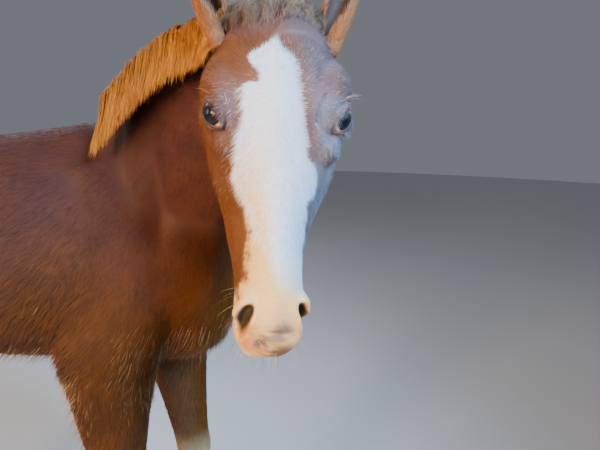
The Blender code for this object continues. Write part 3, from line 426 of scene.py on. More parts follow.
def sections(centres, side, up, width, rise, drop, upper=2.0, lower=2.0, count=56):
    """Rings in which across = width * cos(a)^(2/n) and height = rise or drop * sin(a)^(2/n)."""
    turn = np.linspace(0, math.tau, count, endpoint=False)[None]
    values, blank = (width, rise, drop, upper, lower), np.zeros((len(centres), 1))
    width, rise, drop, upper, lower = (blank + np.reshape(value, (-1, 1)) for value in values)
    above = np.sin(turn) >= 0
    power = 2 / np.where(above, upper, lower)
    wide, tall = np.cos(turn), np.sin(turn)
    across = width * np.sign(wide) * np.abs(wide) ** power
    height = np.where(above, rise, drop) * np.sign(tall) * np.abs(tall) ** power
    side, up = (np.broadcast_to(np.asarray(way, float), (len(centres), 3))[:, None] for way in (side, up))
    return centres[:, None] + across[..., None] * side + height[..., None] * up


def outward(points, faces):
    """The faces, turned round if the volume that they enclose comes out negative."""
    a, b, c = (points[faces[:, i]] for i in range(3))
    return faces[:, ::-1] if (a * np.cross(b, c)).sum() < 0 else faces


def tube(rings):
    """A closed tube: rings joined by pairs of triangles, with a fan from its middle at each end."""
    count, sides, _ = rings.shape
    points = np.vstack([rings.reshape(-1, 3), rings[0].mean(0), rings[-1].mean(0)])
    i, j = np.meshgrid(np.arange(count - 1), np.arange(sides), indexing="ij")
    k = (j + 1) % sides
    corners = (i * sides + j, i * sides + k, (i + 1) * sides + k, (i + 1) * sides + j)
    a, b, c, d = (corner.ravel() for corner in corners)
    j = np.arange(sides)
    k = (j + 1) % sides
    first, last = np.full(sides, count * sides), np.full(sides, count * sides + 1)
    end = (count - 1) * sides
    triangles = ((a, b, c), (a, c, d), (first, k, j), (last, end + j, end + k))
    faces = np.vstack([np.stack(triangle, 1) for triangle in triangles])
    return points, outward(points, faces)


def ball(centre, axes, radii, turns=28, climbs=16):
    """An ellipsoid: rings of radius cos(climb) at height sin(climb)."""
    climb = np.linspace(-math.pi / 2 + 0.04, math.pi / 2 - 0.04, climbs)
    axes = np.asarray(axes, float)
    middles = np.asarray(centre, float) + np.sin(climb)[:, None] * radii[2] * axes[2]
    wide, tall = radii[0] * np.cos(climb), radii[1] * np.cos(climb)
    return tube(sections(middles, axes[0], axes[1], wide, tall, tall, count=turns))


def head_axes():
    """Unit vectors of the head: along to the muzzle, out to its left, and forward out of the face."""
    along = Vector((0, -math.sin(NOSE_DROP), -math.cos(NOSE_DROP)))
    face = Vector((0, -math.cos(NOSE_DROP), math.sin(NOSE_DROP)))
    turn = Matrix.Rotation(-FACE_TURN, 3, along)
    tilt = Matrix.Rotation(HEAD_TILT, 3, turn @ face)
    return np.array((tilt @ along, tilt @ turn @ Vector((1, 0, 0)), turn @ face))


AXES = head_axes()
ALONG, LEFT, FACE = AXES
POLL = np.array(BROW_POINT) - ALONG * BROW_ALONG
HEAD_PLANE = (np.array((0.270, -0.145, 1.092)), units(np.array((0.45, -0.85, -0.15))))


def muzzle_turned(place, way):
    """Head places turned about the head's length as the muzzle is (way 1), or turned back (way -1)."""
    along, out, front = np.moveaxis(np.asarray(place, float), -1, 0)
    share = smooth(*MUZZLE_SPAN, along)
    turn, shift = way * MUZZLE_TURN * share, MUZZLE_SHIFT * share
    out, front = out - shift * (way < 0), front - MUZZLE_MIDDLE
    across = out * np.cos(turn) + front * np.sin(turn) + shift * (way > 0)
    return np.stack([along, across, MUZZLE_MIDDLE + front * np.cos(turn) - out * np.sin(turn)], -1)


def in_head(place):
    """A place given along, out to the left and forward in the head, in the foal's frame."""
    return POLL + muzzle_turned(place, 1) @ AXES


def way_in_head(place, way):
    """A way given in the head, as it is turned at a place there, in the foal's frame."""
    return units(in_head(np.asarray(place, float) + 0.001 * np.asarray(way, float)) - in_head(place))


def head_places(points):
    """Points of the foal's frame as along, left and forward in the head."""
    return muzzle_turned((points - POLL) @ AXES.T, -1)


def new_object(name, points, faces, colours=None, normals=None, patches=None):
    """A mesh object from arrays, moved into the part's frame, with its colours, normals and UV map."""
    mesh = bpy.data.meshes.new(name)
    faces = np.asarray(faces, np.int32)
    mesh.vertices.add(len(points))
    mesh.vertices.foreach_set("co", (points + CENTRE).astype(np.float32).ravel())
    mesh.loops.add(faces.size)
    mesh.loops.foreach_set("vertex_index", faces.ravel())
    mesh.polygons.add(len(faces))
    mesh.polygons.foreach_set("loop_start", np.arange(0, faces.size, faces.shape[1], dtype=np.int32))
    mesh.polygons.foreach_set("use_smooth", np.full(len(faces), True))
    mesh.update(calc_edges=True)
    mesh.validate()
    if patches is not None:
        layer = mesh.uv_layers.new(name=UV_NAME)
        layer.data.foreach_set("uv", patches[faces.ravel()].astype(np.float32).ravel())
    if colours is not None:
        paint(mesh, colours)
    if normals is not None:
        mesh.normals_split_custom_set_from_vertices(normals)
    made = bpy.data.objects.new(name, mesh)
    bpy.context.scene.collection.objects.link(made)
    return made


def paint(mesh, colours):
    """A colour at each vertex."""
    layer = mesh.color_attributes.new(COAT_ATTRIBUTE, "FLOAT_COLOR", "POINT")
    layer.data.foreach_set("color", np.c_[colours, np.ones(len(colours))].astype(np.float32).ravel())


def column(rows, name, kind=np.float32, wide=3):
    """One property of all the rows of a mesh, as an array of a width."""
    found = np.empty(len(rows) * wide, kind)
    rows.foreach_get(name, found)
    return found.reshape(-1, wide) if wide > 1 else found


def places(made):
    """The object's vertices in the foal's frame."""
    return column(made.data.vertices, "co").astype(float) - CENTRE


def normals_of(made):
    return column(made.data.vertex_normals, "vector").astype(float)


def move_to(made, points):
    made.data.vertices.foreach_set("co", (points + CENTRE).astype(np.float32).ravel())
    made.data.update()


def bake(made):
    """Applies an object's modifiers."""
    graph = bpy.context.evaluated_depsgraph_get()
    mesh = bpy.data.meshes.new_from_object(made.evaluated_get(graph))
    made.modifiers.clear()
    made.data = mesh


def leg_line(name, height):
    """The place of a leg's middle at each height: its stations, leaning from the hoof to its top."""
    side, hoof, top, table, out = LEGS[name]
    rows = np.array(table)
    height = np.atleast_1d(np.asarray(height, float))
    x = hoof + (top - hoof) * np.minimum(height / LEG_TOP, 1.0) + np.interp(height, rows[:, 0], rows[:, 1])
    y = side * (out - 0.030 * np.maximum(0.0, (height - 0.70) / 0.30))
    return np.stack([x, y, height], 1)


def level_rings(rows, count):
    """Rings across a length, from rows of place, top, bottom, half width, widest level and roundness."""
    along, top, bottom, width, widest, upper, lower = rows.T
    level = bottom + widest * (top - bottom)
    centres = np.stack([along, 0 * along, level], 1)
    rise, drop = top - level, level - bottom
    return sections(centres, (0, 1, 0), (0, 0, 1), width, rise, drop, upper, lower, count)


def trunk_form():
    return tube(level_rings(smooth_rows(TRUNK), 72))


def neck_form():
    rows = smooth_rows(NECK)
    crest, throat, width = rows[:, :3], rows[:, 3:6], rows[:, 6]
    half = (crest - throat) / 2
    height = np.linalg.norm(half, axis=1)
    up = units(half)
    middle = (crest + throat) / 2
    side = units(np.cross(up, np.gradient(middle, axis=0)))
    middle = middle - up * 0.15 * height[:, None]
    return tube(sections(middle, side, up, width, height * 1.15, height * 0.85, 1.75))


def head_form():
    return tube(in_head(level_rings(smooth_rows(HEAD, 10), 80)))


def leg_form(name):
    table = LEGS[name][3]
    height, forward, length, width = smooth_rows(table).T
    centres = leg_line(name, height)
    centres[:, 0] += forward - np.interp(height, np.array(table)[:, 0], np.array(table)[:, 1])
    return tube(sections(centres, (1, 0, 0), (0, 1, 0), length, width, width, 2.2, 2.2))


def tail_form():
    x, height, width, depth = smooth_rows(TAIL).T
    middle = np.stack([x, 0 * x, height], 1)
    travel = units(np.gradient(middle, axis=0))
    back = np.stack([travel[:, 2], 0 * x, -travel[:, 0]], 1)
    return tube(sections(middle, (0, 1, 0), back, width, depth, depth, count=24))


def sides_of(spot, paired=True):
    """The sides on which a form is made: both, or one where it lies on the middle or isn't paired."""
    return (1, -1) if paired and spot[1] else (1,)


def both_sides(rows, place):
    """Ellipsoids at each row's place, and mirrored where it lies off the middle."""
    shapes = []
    for spot, radii in rows:
        for side in sides_of(spot):
            points, faces = ball(np.array(spot) * (1, side, 1), np.eye(3), radii)
            shapes.append((place(points), faces))
    return shapes


def flesh():
    """Every form of the body, as closed shapes that cross each other."""
    shapes = [trunk_form(), neck_form(), head_form(), tail_form()]
    shapes += both_sides(MUZZLE_BULGES, in_head)
    shapes += both_sides(HEAD_BULGES, lambda spot: in_head(spot + EYES_SHIFT))
    shapes += both_sides(BODY_BULGES, np.asarray)
    return shapes + [leg_form(name) for name in LEGS]


def eye_frame(side):
    """An eye's centre, the way it looks, the way of its opening's length, and across it."""
    look = units(LEFT * side * 0.69 + FACE * 0.72 + ALONG * 0.26)
    long = flat_to(ALONG * 0.82 + FACE * 0.34 - LEFT * side * 0.28, look)
    return in_head(np.array(EYE_PLACE) * (1, side, 1) + EYES_SHIFT), look, long, np.cross(look, long)


def almond(turn):
    """The eye's opening at each turn: along its length, and across it with pointed ends."""
    length, height = EYE_OPENING
    return np.cos(turn) * length, np.sin(turn) * height * np.abs(np.sin(turn)) ** 0.35


def nostril_frame(side):
    """A nostril's middle, the way of its length, across it, and the way out of it."""
    place = np.array(NOSTRIL_PLACE) * (1, side, 1)
    out = way_in_head(place, (0.12, 0.66 * side, 0.72))
    long = flat_to(way_in_head(place, (0.95, 1.05 * side, 0.0)), out)
    return in_head(place), long, np.cross(out, long), out


def humps(points, normals, forms, paired=True):
    """Moves points along their normals by each form's height times exp(-distance squared), in reaches."""
    moved = np.zeros(len(points))
    for _, spot, reach, height in forms:
        for side in sides_of(spot, paired):
            apart = (points - np.array(spot) * (1, side, 1)) / np.array(reach)
            moved += height * np.exp(-(apart * apart).sum(1))
    return moved[:, None] * normals


def soften(made, rounds, group=""):
    """A smoothing of some rounds, over the whole mesh or one vertex group."""
    smoothing = made.modifiers.new("soften", "SMOOTH")
    smoothing.factor = 0.5
    smoothing.iterations = rounds
    smoothing.vertex_group = group


def fused(name, shapes, voxel, rounds):
    """The shapes as one closed skin at a voxel's fineness, softened where they meet."""
    base, points, faces = 0, [], []
    for shape_points, shape_faces in shapes:
        points.append(shape_points)
        faces.append(shape_faces + base)
        base += len(shape_points)
    made = new_object(name, np.vstack(points), np.vstack(faces))
    remesh = made.modifiers.new("fuse", "REMESH")
    remesh.mode = "VOXEL"
    remesh.voxel_size = voxel
    soften(made, rounds)
    bake(made)
    return made


def weigh(made, name, weights, steps=8):
    """A vertex group whose weights are rounded to a few steps, each added in one call."""
    group = made.vertex_groups.new(name=name)
    levels = np.round(np.clip(weights, 0, 1) * steps).astype(int)
    for level in range(1, steps + 1):
        group.add(np.nonzero(levels == level)[0].tolist(), level / steps, "REPLACE")


def headness(points):
    """1 on the head and 0 behind the jaw, by distance past a plane between them."""
    return smooth(-0.030, 0.010, (points - HEAD_PLANE[0]) @ HEAD_PLANE[1])


def refine(made, wanted):
    """Splits the faces whose vertices are all wanted."""
    shape = bmesh.new()
    shape.from_mesh(made.data)
    faces = [face for face in shape.faces if all(wanted[vertex.index] for vertex in face.verts)]
    edges = list({edge for face in faces for edge in face.edges})
    bmesh.ops.subdivide_edges(shape, edges=edges, cuts=1, use_grid_fill=True)
    shape.to_mesh(made.data)
    shape.free()


def relaxed(points, edges, weights, rounds):
    """Points drawn half way to their neighbours' mean, where weighted, some times over."""
    count = len(points)
    links = np.bincount(edges.ravel(), minlength=count)[:, None]
    for _ in range(rounds):
        total = np.stack([
            np.bincount(edges[:, 0], points[edges[:, 1], axis], count)
            + np.bincount(edges[:, 1], points[edges[:, 0], axis], count) for axis in range(3)
        ], 1)
        points = points + weights[:, None] * 0.5 * (total / np.maximum(links, 1) - points)
    return points


def coat_depth(points):
    """How far the skin lies inside the solids' surface: little on the face and feet, more on the body."""
    head = head_places(points)
    body = 0.0030 + 0.0035 * smooth(0.30, 0.60, points[:, 2])
    face = 0.0010 + 0.0012 * smooth(0.34, 0.28, head[:, 0]) + 0.0016 * smooth(-0.05, -0.11, head[:, 2])
    share = headness(points)
    return body * (1 - share) + face * share


def rim_level(a, b):
    """How many times the eye's opening a point lies out: 1 on the lids' edge."""
    length, height = EYE_OPENING
    return np.sqrt((a / length) ** 2 + (np.abs(b) / height) ** 1.48)


def round_eye(points, side):
    """Points as seen from an eye: from the ball's middle, along and across the opening, and ahead."""
    centre, look, long, across = eye_frame(side)
    apart = points - centre
    return apart, apart @ long, apart @ across, apart @ look


def set_lids(points, side):
    """Skin round an eye, set by distance from the ball's middle: behind the ball inside the opening,
    close to it on the lids' edge, then the lid's thickness, a crease, and a fold above it."""
    centre, look, long, across = eye_frame(side)
    apart, a, b, c = round_eye(points, side)
    level = rim_level(a, b)
    near = (c > 0) & (np.hypot(a, b) < 0.036)
    drawn = np.where(np.abs(level - 1) < 0.09, 1 / np.maximum(level, 0.5), 1.0)
    a, b = a * drawn, b * drawn
    level = np.where(drawn == 1.0, level, 1.0)
    distance = np.linalg.norm(apart, axis=1)
    upper = (b * np.sign(across @ -ALONG) > 0).astype(float)
    lid = EYE_RADIUS + 0.0010 + 0.0022 * smooth(1.0, 1.55, level)
    lid -= (0.0004 + 0.0010 * upper) * np.exp(-(((level - 1.85) / 0.16) ** 2))
    lid += (0.0006 + 0.0016 * upper) * np.exp(-(((level - 2.25) / 0.26) ** 2))
    own = smooth(1.9, 3.2, level)
    wanted = np.where(level < 0.995, EYE_RADIUS - 0.0035, lid * (1 - own) + distance * own)
    flat = a[:, None] * long + b[:, None] * across
    deep = np.sqrt(np.maximum(wanted**2 - a * a - b * b, 0.0001))
    set_points = centre + flat + deep[:, None] * look
    outer = centre + apart / distance[:, None] * wanted[:, None]
    place = np.where((level < 1.3)[:, None], set_points, outer)
    return np.where((near & (level < 3.2))[:, None], place, points)


def sink_nostrils(points, normals, side):
    """A slanting comma drawn into the nose, with a raised rim round it."""
    place, long, across, out = nostril_frame(side)
    apart = points - place
    a, b, c = apart @ long, apart @ across, apart @ out
    length, width = NOSTRIL_SIZE
    bend = 0.0020 * (a / length) ** 2 * side
    level = np.sqrt((a / length) ** 2 + ((b - bend) / width) ** 2)
    facing = smooth(-0.016, -0.008, c) * smooth(0.1, 0.5, normals @ out)
    deep = (1 - smooth(0.25, 1.05, level)) * facing
    rim = np.exp(-(((level - 1.35) / 0.28) ** 2)) * facing * smooth(-1.0, 0.3, a / length)
    inward = units(-out - ALONG * 0.45)
    return points + deep[:, None] * 0.017 * inward + (rim * 0.0018)[:, None] * normals, deep


def crease_mouth(points, normals):
    """A groove where the lips meet, a swelling on either side of it, and none behind its corners; also
    where the groove runs, for the painted shade that darkens it.
    """
    head = head_places(points)
    depth = (head - (0.318, 0.0, -0.074)) @ units(np.array((0.13, 0.0, 1.0)))
    inside = smooth(0.318, 0.330, head[:, 0])
    groove = -0.0046 * np.exp(-((depth / 0.0017) ** 2))
    lips = 0.0012 * np.exp(-(((np.abs(depth) - 0.0062) / 0.0034) ** 2))
    return points + ((groove + lips) * inside)[:, None] * normals, inside * np.exp(-((depth / 0.0020) ** 2))


def between(rows, values):
    rows = np.array(rows)
    return np.interp(values, rows[:, 0], rows[:, 1])


def mixed(first, second, share):
    """Two colours or arrays of colours, mixed by a share for each row."""
    return np.asarray(first) * (1 - share[:, None]) + np.asarray(second) * share[:, None]


def blaze(points):
    """1 on the white of the face and 0 off it, with a wavering edge."""
    along, out, front = head_places(points).T
    waver = 0.0022 * ripple(points, 0.018, 3) + 0.0012 * ripple(points, 0.006, 4)
    left = between(BLAZE_LEFT_EDGE, along) + waver
    right = between(BLAZE_RIGHT_EDGE, along) + waver
    inside = np.minimum(left - out, out - right)
    front_side = smooth(-0.085, -0.065, front + smooth(0.30, 0.34, along) * 0.1)
    return smooth(-BLAZE_SOFTNESS, BLAZE_SOFTNESS, inside) * front_side * smooth(0.038, 0.050, along)


def coat_colours(points, colours):
    """The colour of the coat at each point: chestnut above and behind, amber on the breast and legs,
    pale below, with the white blaze, the pink muzzle and the white socks laid over. Chestnut above and
    amber below are partly the coat's own colours and partly painted light, cool on the back and warm
    on the breast and legs; the blaze carries painted warm light on its right side and foot and painted
    cool light on its left; the cheeks, the left side of the face's front and the lips' folds carry painted
    shade."""
    x, y, z = points.T
    head = head_places(points)
    along, out, front = head.T
    drift = 0.5 + 0.5 * ripple(points, 0.16, 7)
    mottle = ripple(points, 0.055, 9)
    # Partly the coat's own colour and partly painted light: the darker, purplish chestnut on the back stands
    # for cool light from above, the orange amber low on the body and on the neck's front for warm light from
    # the front.
    amber = 0.04 + 0.72 * smooth(0.96, 0.72, z) + 0.34 * smooth(0.04, 0.20, x) * smooth(1.10, 0.90, z)
    amber += 0.22 * (drift - 0.5) + 0.08 * mottle
    colour = mixed(colours["chestnut"], colours["amber"], np.clip(amber, 0, 1))
    colour *= (1 + 0.10 * mottle)[:, None]
    low = smooth(0.690, 0.640, z) * smooth(-0.62, -0.50, x) * smooth(0.07, 0.02, np.abs(y))
    colour = mixed(colour, colours["cream"], 0.30 * low)
    sock = smooth(0.37, 0.27, z + 0.035 * ripple(points, 0.10, 11))
    inner = smooth(0.60, 0.40, z) * smooth(0.075, 0.055, np.abs(y)) * 0.05
    colour = mixed(colour, colours["cream"], np.maximum(inner, 0.75 * smooth(0.43, 0.34, z)))
    colour = mixed(colour, colours["white"], sock * 0.85)
    share = headness(points)
    # Painted shade: the face turns to the darker amber on the cheeks, back from the face's front, and in a
    # band below the eyes.
    deep = 0.85 * smooth(0.03, -0.05, front) + 0.45 * smooth(0.12, 0.16, along) * smooth(0.24, 0.19, along)
    face = mixed(colours["face"], colours["amber"], np.clip(deep + 0.15 * drift, 0, 1))
    # Painted shade: the left side of the face's front is laid over with the mauve grey as if it stood in cool
    # shade; round the right eye the mauve grey is the skin's own colour, and the poll is greyed too.
    cool_side_shade = 0.85 * smooth(0.020, 0.042, out) * smooth(-0.12, -0.04, front)
    near_eye = np.exp(-((along - 0.125) / 0.030) ** 2 - ((out + 0.052) / 0.016) ** 2)
    poll = 0.55 * smooth(0.050, 0.025, along) + 0.35 * smooth(0.0, 0.02, out) * smooth(0.09, 0.06, along)
    face = mixed(face, colours["grey"], np.clip(np.maximum(cool_side_shade, 0.85 * near_eye) + poll, 0, 0.9))
    # Painted cool light: the face's left side from the eye down is tinted blue.
    face = mixed(face, colours["blue"] * 0.32, 0.55 * smooth(0.10, 0.125, along) * smooth(0.034, 0.050, out))
    colour = mixed(colour, face * (1 + 0.12 * mottle)[:, None], share)
    # Painted warm light: the blaze's right side and its foot are tinted cream-orange as if lit by a warm
    # lamp.
    warm = smooth(0.14, 0.26, along) * smooth(0.002, -0.026, out)
    warm += smooth(0.275, 0.335, along + 0.5 * (0.01 - out))
    white = mixed(colours["white"], colours["warm"], np.clip(warm, 0, 1) * 0.90)
    # Painted cool light: the blaze's left side is tinted blue.
    white = mixed(white, colours["blue"], 0.9 * smooth(-0.016, 0.018, out) * smooth(0.33, 0.27, along))
    colour = mixed(colour, white, share * blaze(points))
    bare = smooth(0.318, 0.352, along + 0.006 * ripple(points, 0.02, 13))
    # The bare muzzle is partly its pink skin and partly the warm white, which adds painted warm light.
    lips = mixed(colours["pink"], colours["warm"], np.clip(0.72 + 0.3 * ripple(points, 0.012, 17), 0, 1))
    for spot, reach, name, much in MUZZLE_MARKS:
        apart = (head - spot) / reach + 0.25 * ripple(points, 0.008, 19)[:, None]
        lips = mixed(lips, colours[name], much * np.exp(-((apart * apart).sum(1) ** 1.6)))
    return mixed(colour, lips, share * bare)


def roan(points):
    """How many white hairs are mixed into the brown: most between the right eye and the blaze."""
    along, out, _ = head_places(points).T
    right = smooth(-0.068, -0.045, out) * smooth(0.085, 0.110, along) * smooth(0.215, 0.165, along)
    left = smooth(0.080, 0.040, out) * smooth(0.045, 0.080, along) * smooth(0.240, 0.150, along)
    return headness(points) * np.where(out < 0, 0.60 * right, 0.25 * left)


def straws(points):
    """How many pale hairs stand out of the brown: along the breast's foot, the belly and the elbows."""
    x, _, z = points.T
    breast = smooth(0.76, 0.68, z) * smooth(0.00, 0.08, x) * smooth(0.58, 0.64, z)
    elbow = np.exp(-(((x + 0.070) / 0.030) ** 2) - ((z - 0.580) / 0.10) ** 2)
    belly = smooth(0.70, 0.65, z) * smooth(0.0, -0.06, x) * smooth(0.60, 0.63, z)
    return (1 - headness(points)) * np.clip(0.30 * breast + 0.35 * elbow + 0.30 * belly, 0, 0.5)


def palette():
    """The foal's colours by name."""
    shades = bpy.context.scene.foal_colours
    return {name: np.array(getattr(shades, name)) for name in SHADES}


def near_features(points, eye_reach, nostril_reach, along, front):
    """Whether each point lies close to an eye or a nostril, or on the muzzle past two places."""
    head = head_places(points)
    near = (head[:, 0] > along) & (head[:, 2] > front)
    for side in (1, -1):
        for spot, reach in ((EYE_PLACE, eye_reach), (NOSTRIL_PLACE, nostril_reach)):
            near |= np.linalg.norm(head - np.array(spot) * (1, side, 1), axis=1) < reach
    return near


def make_skin(sizes):
    """The whole skin: fused flesh, sunk by the coat's depth, with the finer forms worked into it."""
    made = fused("skin", flesh(), sizes.voxel, FUSED_ROUNDS)
    weigh(made, "body", 1 - headness(places(made)))
    soften(made, BODY_ROUNDS, "body")
    bake(made)
    made.vertex_groups.clear()

    refine(made, near_features(places(made), 0.038, 0.026, 0.312, -0.125))
    points, links = places(made), column(made.data.edges, "vertices", np.int32, 2)
    detail = near_features(points, 0.040, 0.028, 0.310, -0.13).astype(float)
    move_to(made, relaxed(points, links, detail, 3))

    points, normals = places(made), normals_of(made)
    points = points - coat_depth(points)[:, None] * normals
    share = headness(points)[:, None]
    head = head_places(points)
    face = humps(head, normals, FACE_FORMS) + humps(head, normals, MUZZLE_FORMS, False)
    points = points + share * face + (1 - share) * humps(points, normals, BODY_FORMS)
    move_to(made, points)
    points, normals = places(made), normals_of(made)
    points, groove = crease_mouth(points, normals)
    # Painted shade: the line where the lips meet and the depths of the nostrils are darkened to the nostril
    # colour; the nostrils' lining is dark of its own, and the rest is painted shade in the recesses.
    dark = groove * 0.8
    for side in (1, -1):
        points, deep = sink_nostrils(points, normals, side)
        dark = np.maximum(dark, smooth(0.04, 0.60, deep))
        points = set_lids(points, side)
    move_to(made, points)

    shades = palette()
    colour = coat_colours(points, shades)
    colour = colour * (0.84 + 0.16 * smooth(0.30, 0.35, head_places(points)[:, 0]))[:, None]
    colour = mixed(colour, shades["nostril"], dark)
    for side in (1, -1):
        _, a, b, c = round_eye(points, side)
        ring = (c > 0) * (1 - smooth(1.1, 1.7, rim_level(a, b)))
        colour = mixed(colour, shades["lid"], ring * 0.85)
    paint(made.data, colour)

    kept = smooth(0.0, 0.5, headness(points))
    triangles = sum(len(face.vertices) - 2 for face in made.data.polygons)
    corners = head_triangles(made, kept)
    weigh(made, "thin", 1 - kept)
    thin = made.modifiers.new("thin", "DECIMATE")
    thin.vertex_group = "thin"
    thin.vertex_group_factor = 100.0
    thin.ratio = min(1.0, (corners + max(sizes.skin_triangles - corners, 20000)) / triangles)
    bake(made)
    made.vertex_groups.clear()
    made.data.polygons.foreach_set("use_smooth", np.full(len(made.data.polygons), True))
    return made


def head_triangles(made, kept):
    """How many triangles lie in the part that is kept whole."""
    totals = column(made.data.polygons, "loop_total", np.int32, 1)
    starts = column(made.data.polygons, "loop_start", np.int32, 1)
    corners = column(made.data.loops, "vertex_index", np.int32, 1)
    return int((totals - 2)[kept[corners[starts]] > 0.5].sum())


def eyeball(side, shades):
    """A ball with its pole along the way it looks, a clear bulge over the iris, and painted rings:
    white of the eye, blue-black iris, and a black pupil wider than it is tall. The blue in the iris
    and pupil is a painted reflection."""
    centre, look, long, across = eye_frame(side)
    climb = np.linspace(math.pi / 2, -math.pi / 2, 49)[1:-1]
    turn = np.linspace(0, math.tau, 64, endpoint=False)
    bulge = 0.0012 * np.exp(-(((math.pi / 2 - climb) / 0.62) ** 2))
    radius = EYE_RADIUS - 0.0006 + bulge
    ring = np.cos(turn)[:, None] * long + np.sin(turn)[:, None] * across
    wide, high = (radius * np.cos(climb))[:, None, None], (radius * np.sin(climb))[:, None, None]
    rings = centre + wide * ring + high * look
    points, faces = tube(rings)
    apart = points - centre
    gaze = units(LEFT * side * GAZE[0] + FACE * GAZE[1] + ALONG * GAZE[2])
    flat = flat_to(long, gaze)
    wide, tall = apart @ flat / EYE_RADIUS, apart @ np.cross(gaze, flat) / EYE_RADIUS
    off = np.degrees(np.arctan2(np.hypot(wide, tall), apart @ gaze / EYE_RADIUS))
    streaks = ripple(apart, 0.004, 23)
    nasal = smooth(0.45, 0.95, (apart @ long) / EYE_RADIUS)
    colour = mixed(shades["eye_white"], shades["caruncle"], np.clip(nasal * 0.7 + 0.10 * streaks, 0, 1))
    colour = mixed(colour, shades["iris"] * 0.35, smooth(IRIS_EDGE + 3, IRIS_EDGE, off))
    colour = mixed(colour, shades["iris"], smooth(IRIS_EDGE - 2, IRIS_EDGE - 6, off) * (0.8 + 0.2 * streaks))
    slit = np.degrees(np.hypot(wide / 1.35, tall / 0.85))
    colour = mixed(colour, shades["pupil"], smooth(21, 18, slit) * (apart @ gaze > 0))
    return new_object("eyeball_" + SIDES[side], points, faces, colour)


def lid_rim(side, shades):
    """A thin roll along the lids' edge: an ellipse carried round the almond on the eye's ball."""
    centre, look, long, across = eye_frame(side)
    turn = np.linspace(0, math.tau, 96, endpoint=False)
    a, b = almond(turn)
    reach = EYE_RADIUS + 0.0006
    middle = long * a[:, None] + across * b[:, None] + look * np.sqrt(reach**2 - a * a - b * b)[:, None]
    ahead = units(np.roll(middle, -1, 0) - np.roll(middle, 1, 0))
    out = units(middle)
    away = np.cross(ahead, out)
    away *= np.sign((away * (long * a[:, None] + across * b[:, None])).sum(1))[:, None]
    upper = smooth(-0.2, 0.6, b / EYE_OPENING[1] * np.sign(across @ -ALONG))
    thick = 0.0009 + 0.0007 * upper
    around = np.linspace(0, math.tau, 10, endpoint=False)
    rings = (
        (centre + middle + away * 0.0007)[:, None]
        + (np.cos(around) * 1.25)[None, :, None] * (thick[:, None] * away)[:, None]
        + np.sin(around)[None, :, None] * (thick[:, None] * out)[:, None]
    )
    points, faces = closed_ring(rings)
    nasal = np.repeat(smooth(0.55, 1.0, a / EYE_OPENING[0]), len(around))
    colour = mixed(np.tile(shades["lid"], (len(points), 1)), shades["caruncle"], nasal * 0.8)
    return points, faces, colour


def closed_ring(rings):
    """A ring-shaped surface: rings joined in a circle by pairs of triangles."""
    count, sides, _ = rings.shape
    i, j = (x.ravel() for x in np.meshgrid(np.arange(count), np.arange(sides), indexing="ij"))
    k, n = (j + 1) % sides, (i + 1) % count
    a, b, c, d = i * sides + j, i * sides + k, n * sides + k, n * sides + j
    points = rings.reshape(-1, 3)
    return points, outward(points, np.vstack([np.stack((a, b, c), 1), np.stack((a, c, d), 1)]))


def together(shapes):
    """Several shapes of points, faces and colours as one."""
    base, points, faces, colours = 0, [], [], []
    for shape_points, shape_faces, shape_colours in shapes:
        points.append(shape_points)
        faces.append(shape_faces + base)
        colours.append(np.broadcast_to(shape_colours, (len(shape_points), 3)))
        base += len(shape_points)
    return np.vstack(points), np.vstack(faces), np.vstack(colours)


def caruncle(side, shades):
    """The small pink swelling in the eye's inner corner."""
    centre, look, long, across = eye_frame(side)
    place = centre + long * EYE_OPENING[0] * 0.86 + look * EYE_RADIUS * 0.50
    points, faces = ball(place, (long, across, look), (0.0034, 0.0020, 0.0026), 16, 9)
    return points, faces, shades["caruncle"]


def ear_frame(side, share):
    """An ear's foot, the way it points, its front, and the way it opens at a share of its length."""
    way = units(ALONG * EAR_WAY[0] + LEFT * side * EAR_WAY[1] + FACE * EAR_WAY[2])
    front = flat_to(FACE, way)
    turn = (EAR_TURNS[0] + (EAR_TURNS[1] - EAR_TURNS[0]) * np.asarray(share))[..., None]
    opening = front * np.cos(turn) + side * np.cross(way, front) * np.sin(turn)
    return in_head(np.array(EAR_BASE) * (1, side, 1)), way, front, opening


def ear_surface(side, share, turn, inset):
    """Points of an ear's wall: across = width * sin(turn), back = depth * cos(turn), with the turn
    measured from the back, so that turns past a right angle curl the two edges forward."""
    base, way, front, opening = ear_frame(side, share)
    stations = np.array((-0.14, 0.0, 0.15, 0.33, 0.52, 0.70, 0.86, 0.96, 1.0))
    widths = np.array((0.80, 0.92, 1.06, 1.16, 1.12, 0.92, 0.60, 0.28, 0.06)) * EAR_RADIUS
    width = np.interp(share, stations, widths) - inset
    depth = np.interp(share, stations, widths) * 0.86 - inset
    middle = base + way * (EAR_LENGTH * share)[..., None]
    middle = middle + front * (0.010 * np.sin(math.pi * np.clip(share, 0, 1)))[..., None]
    place = middle + np.cross(way, opening) * (width * np.sin(turn))[..., None]
    return place - opening * (depth * np.cos(turn))[..., None]


def ear_shell(side, shades):
    """A cupped ear: an outer wall and an inner wall, joined along the two edges and closed at the foot."""
    share = np.concatenate([np.linspace(-0.10, 0.9, 34), np.linspace(0.92, 1.0, 8)])
    reach = np.interp(share, EAR_STATIONS, EAR_REACHES)
    wall = np.interp(share, (-0.1, 0.5, 1.0), (0.0040, 0.0024, 0.0006))
    spread = np.linspace(-1, 1, 33)
    turn = reach[:, None] * spread
    grid = np.broadcast_to(share[:, None], turn.shape)
    outer = ear_surface(side, grid, turn, 0.0008)
    inner = ear_surface(side, grid, turn * 0.985, np.broadcast_to(wall[:, None], turn.shape))
    rings = np.concatenate([outer, inner[:, ::-1]], 1)
    points, faces = tube(rings)
    inside = np.concatenate([np.zeros(33), np.ones(33)])
    colour = mixed(shades["ear_back"] * 0.8, shades["ear_inside"], np.tile(inside, len(share)))
    dark = np.repeat(smooth(0.60, 1.0, share), 66)
    colour = mixed(colour, shades["chestnut"] * 0.6, dark * 0.6)
    return points, faces, np.vstack([colour, colour[:1], colour[-1:]])


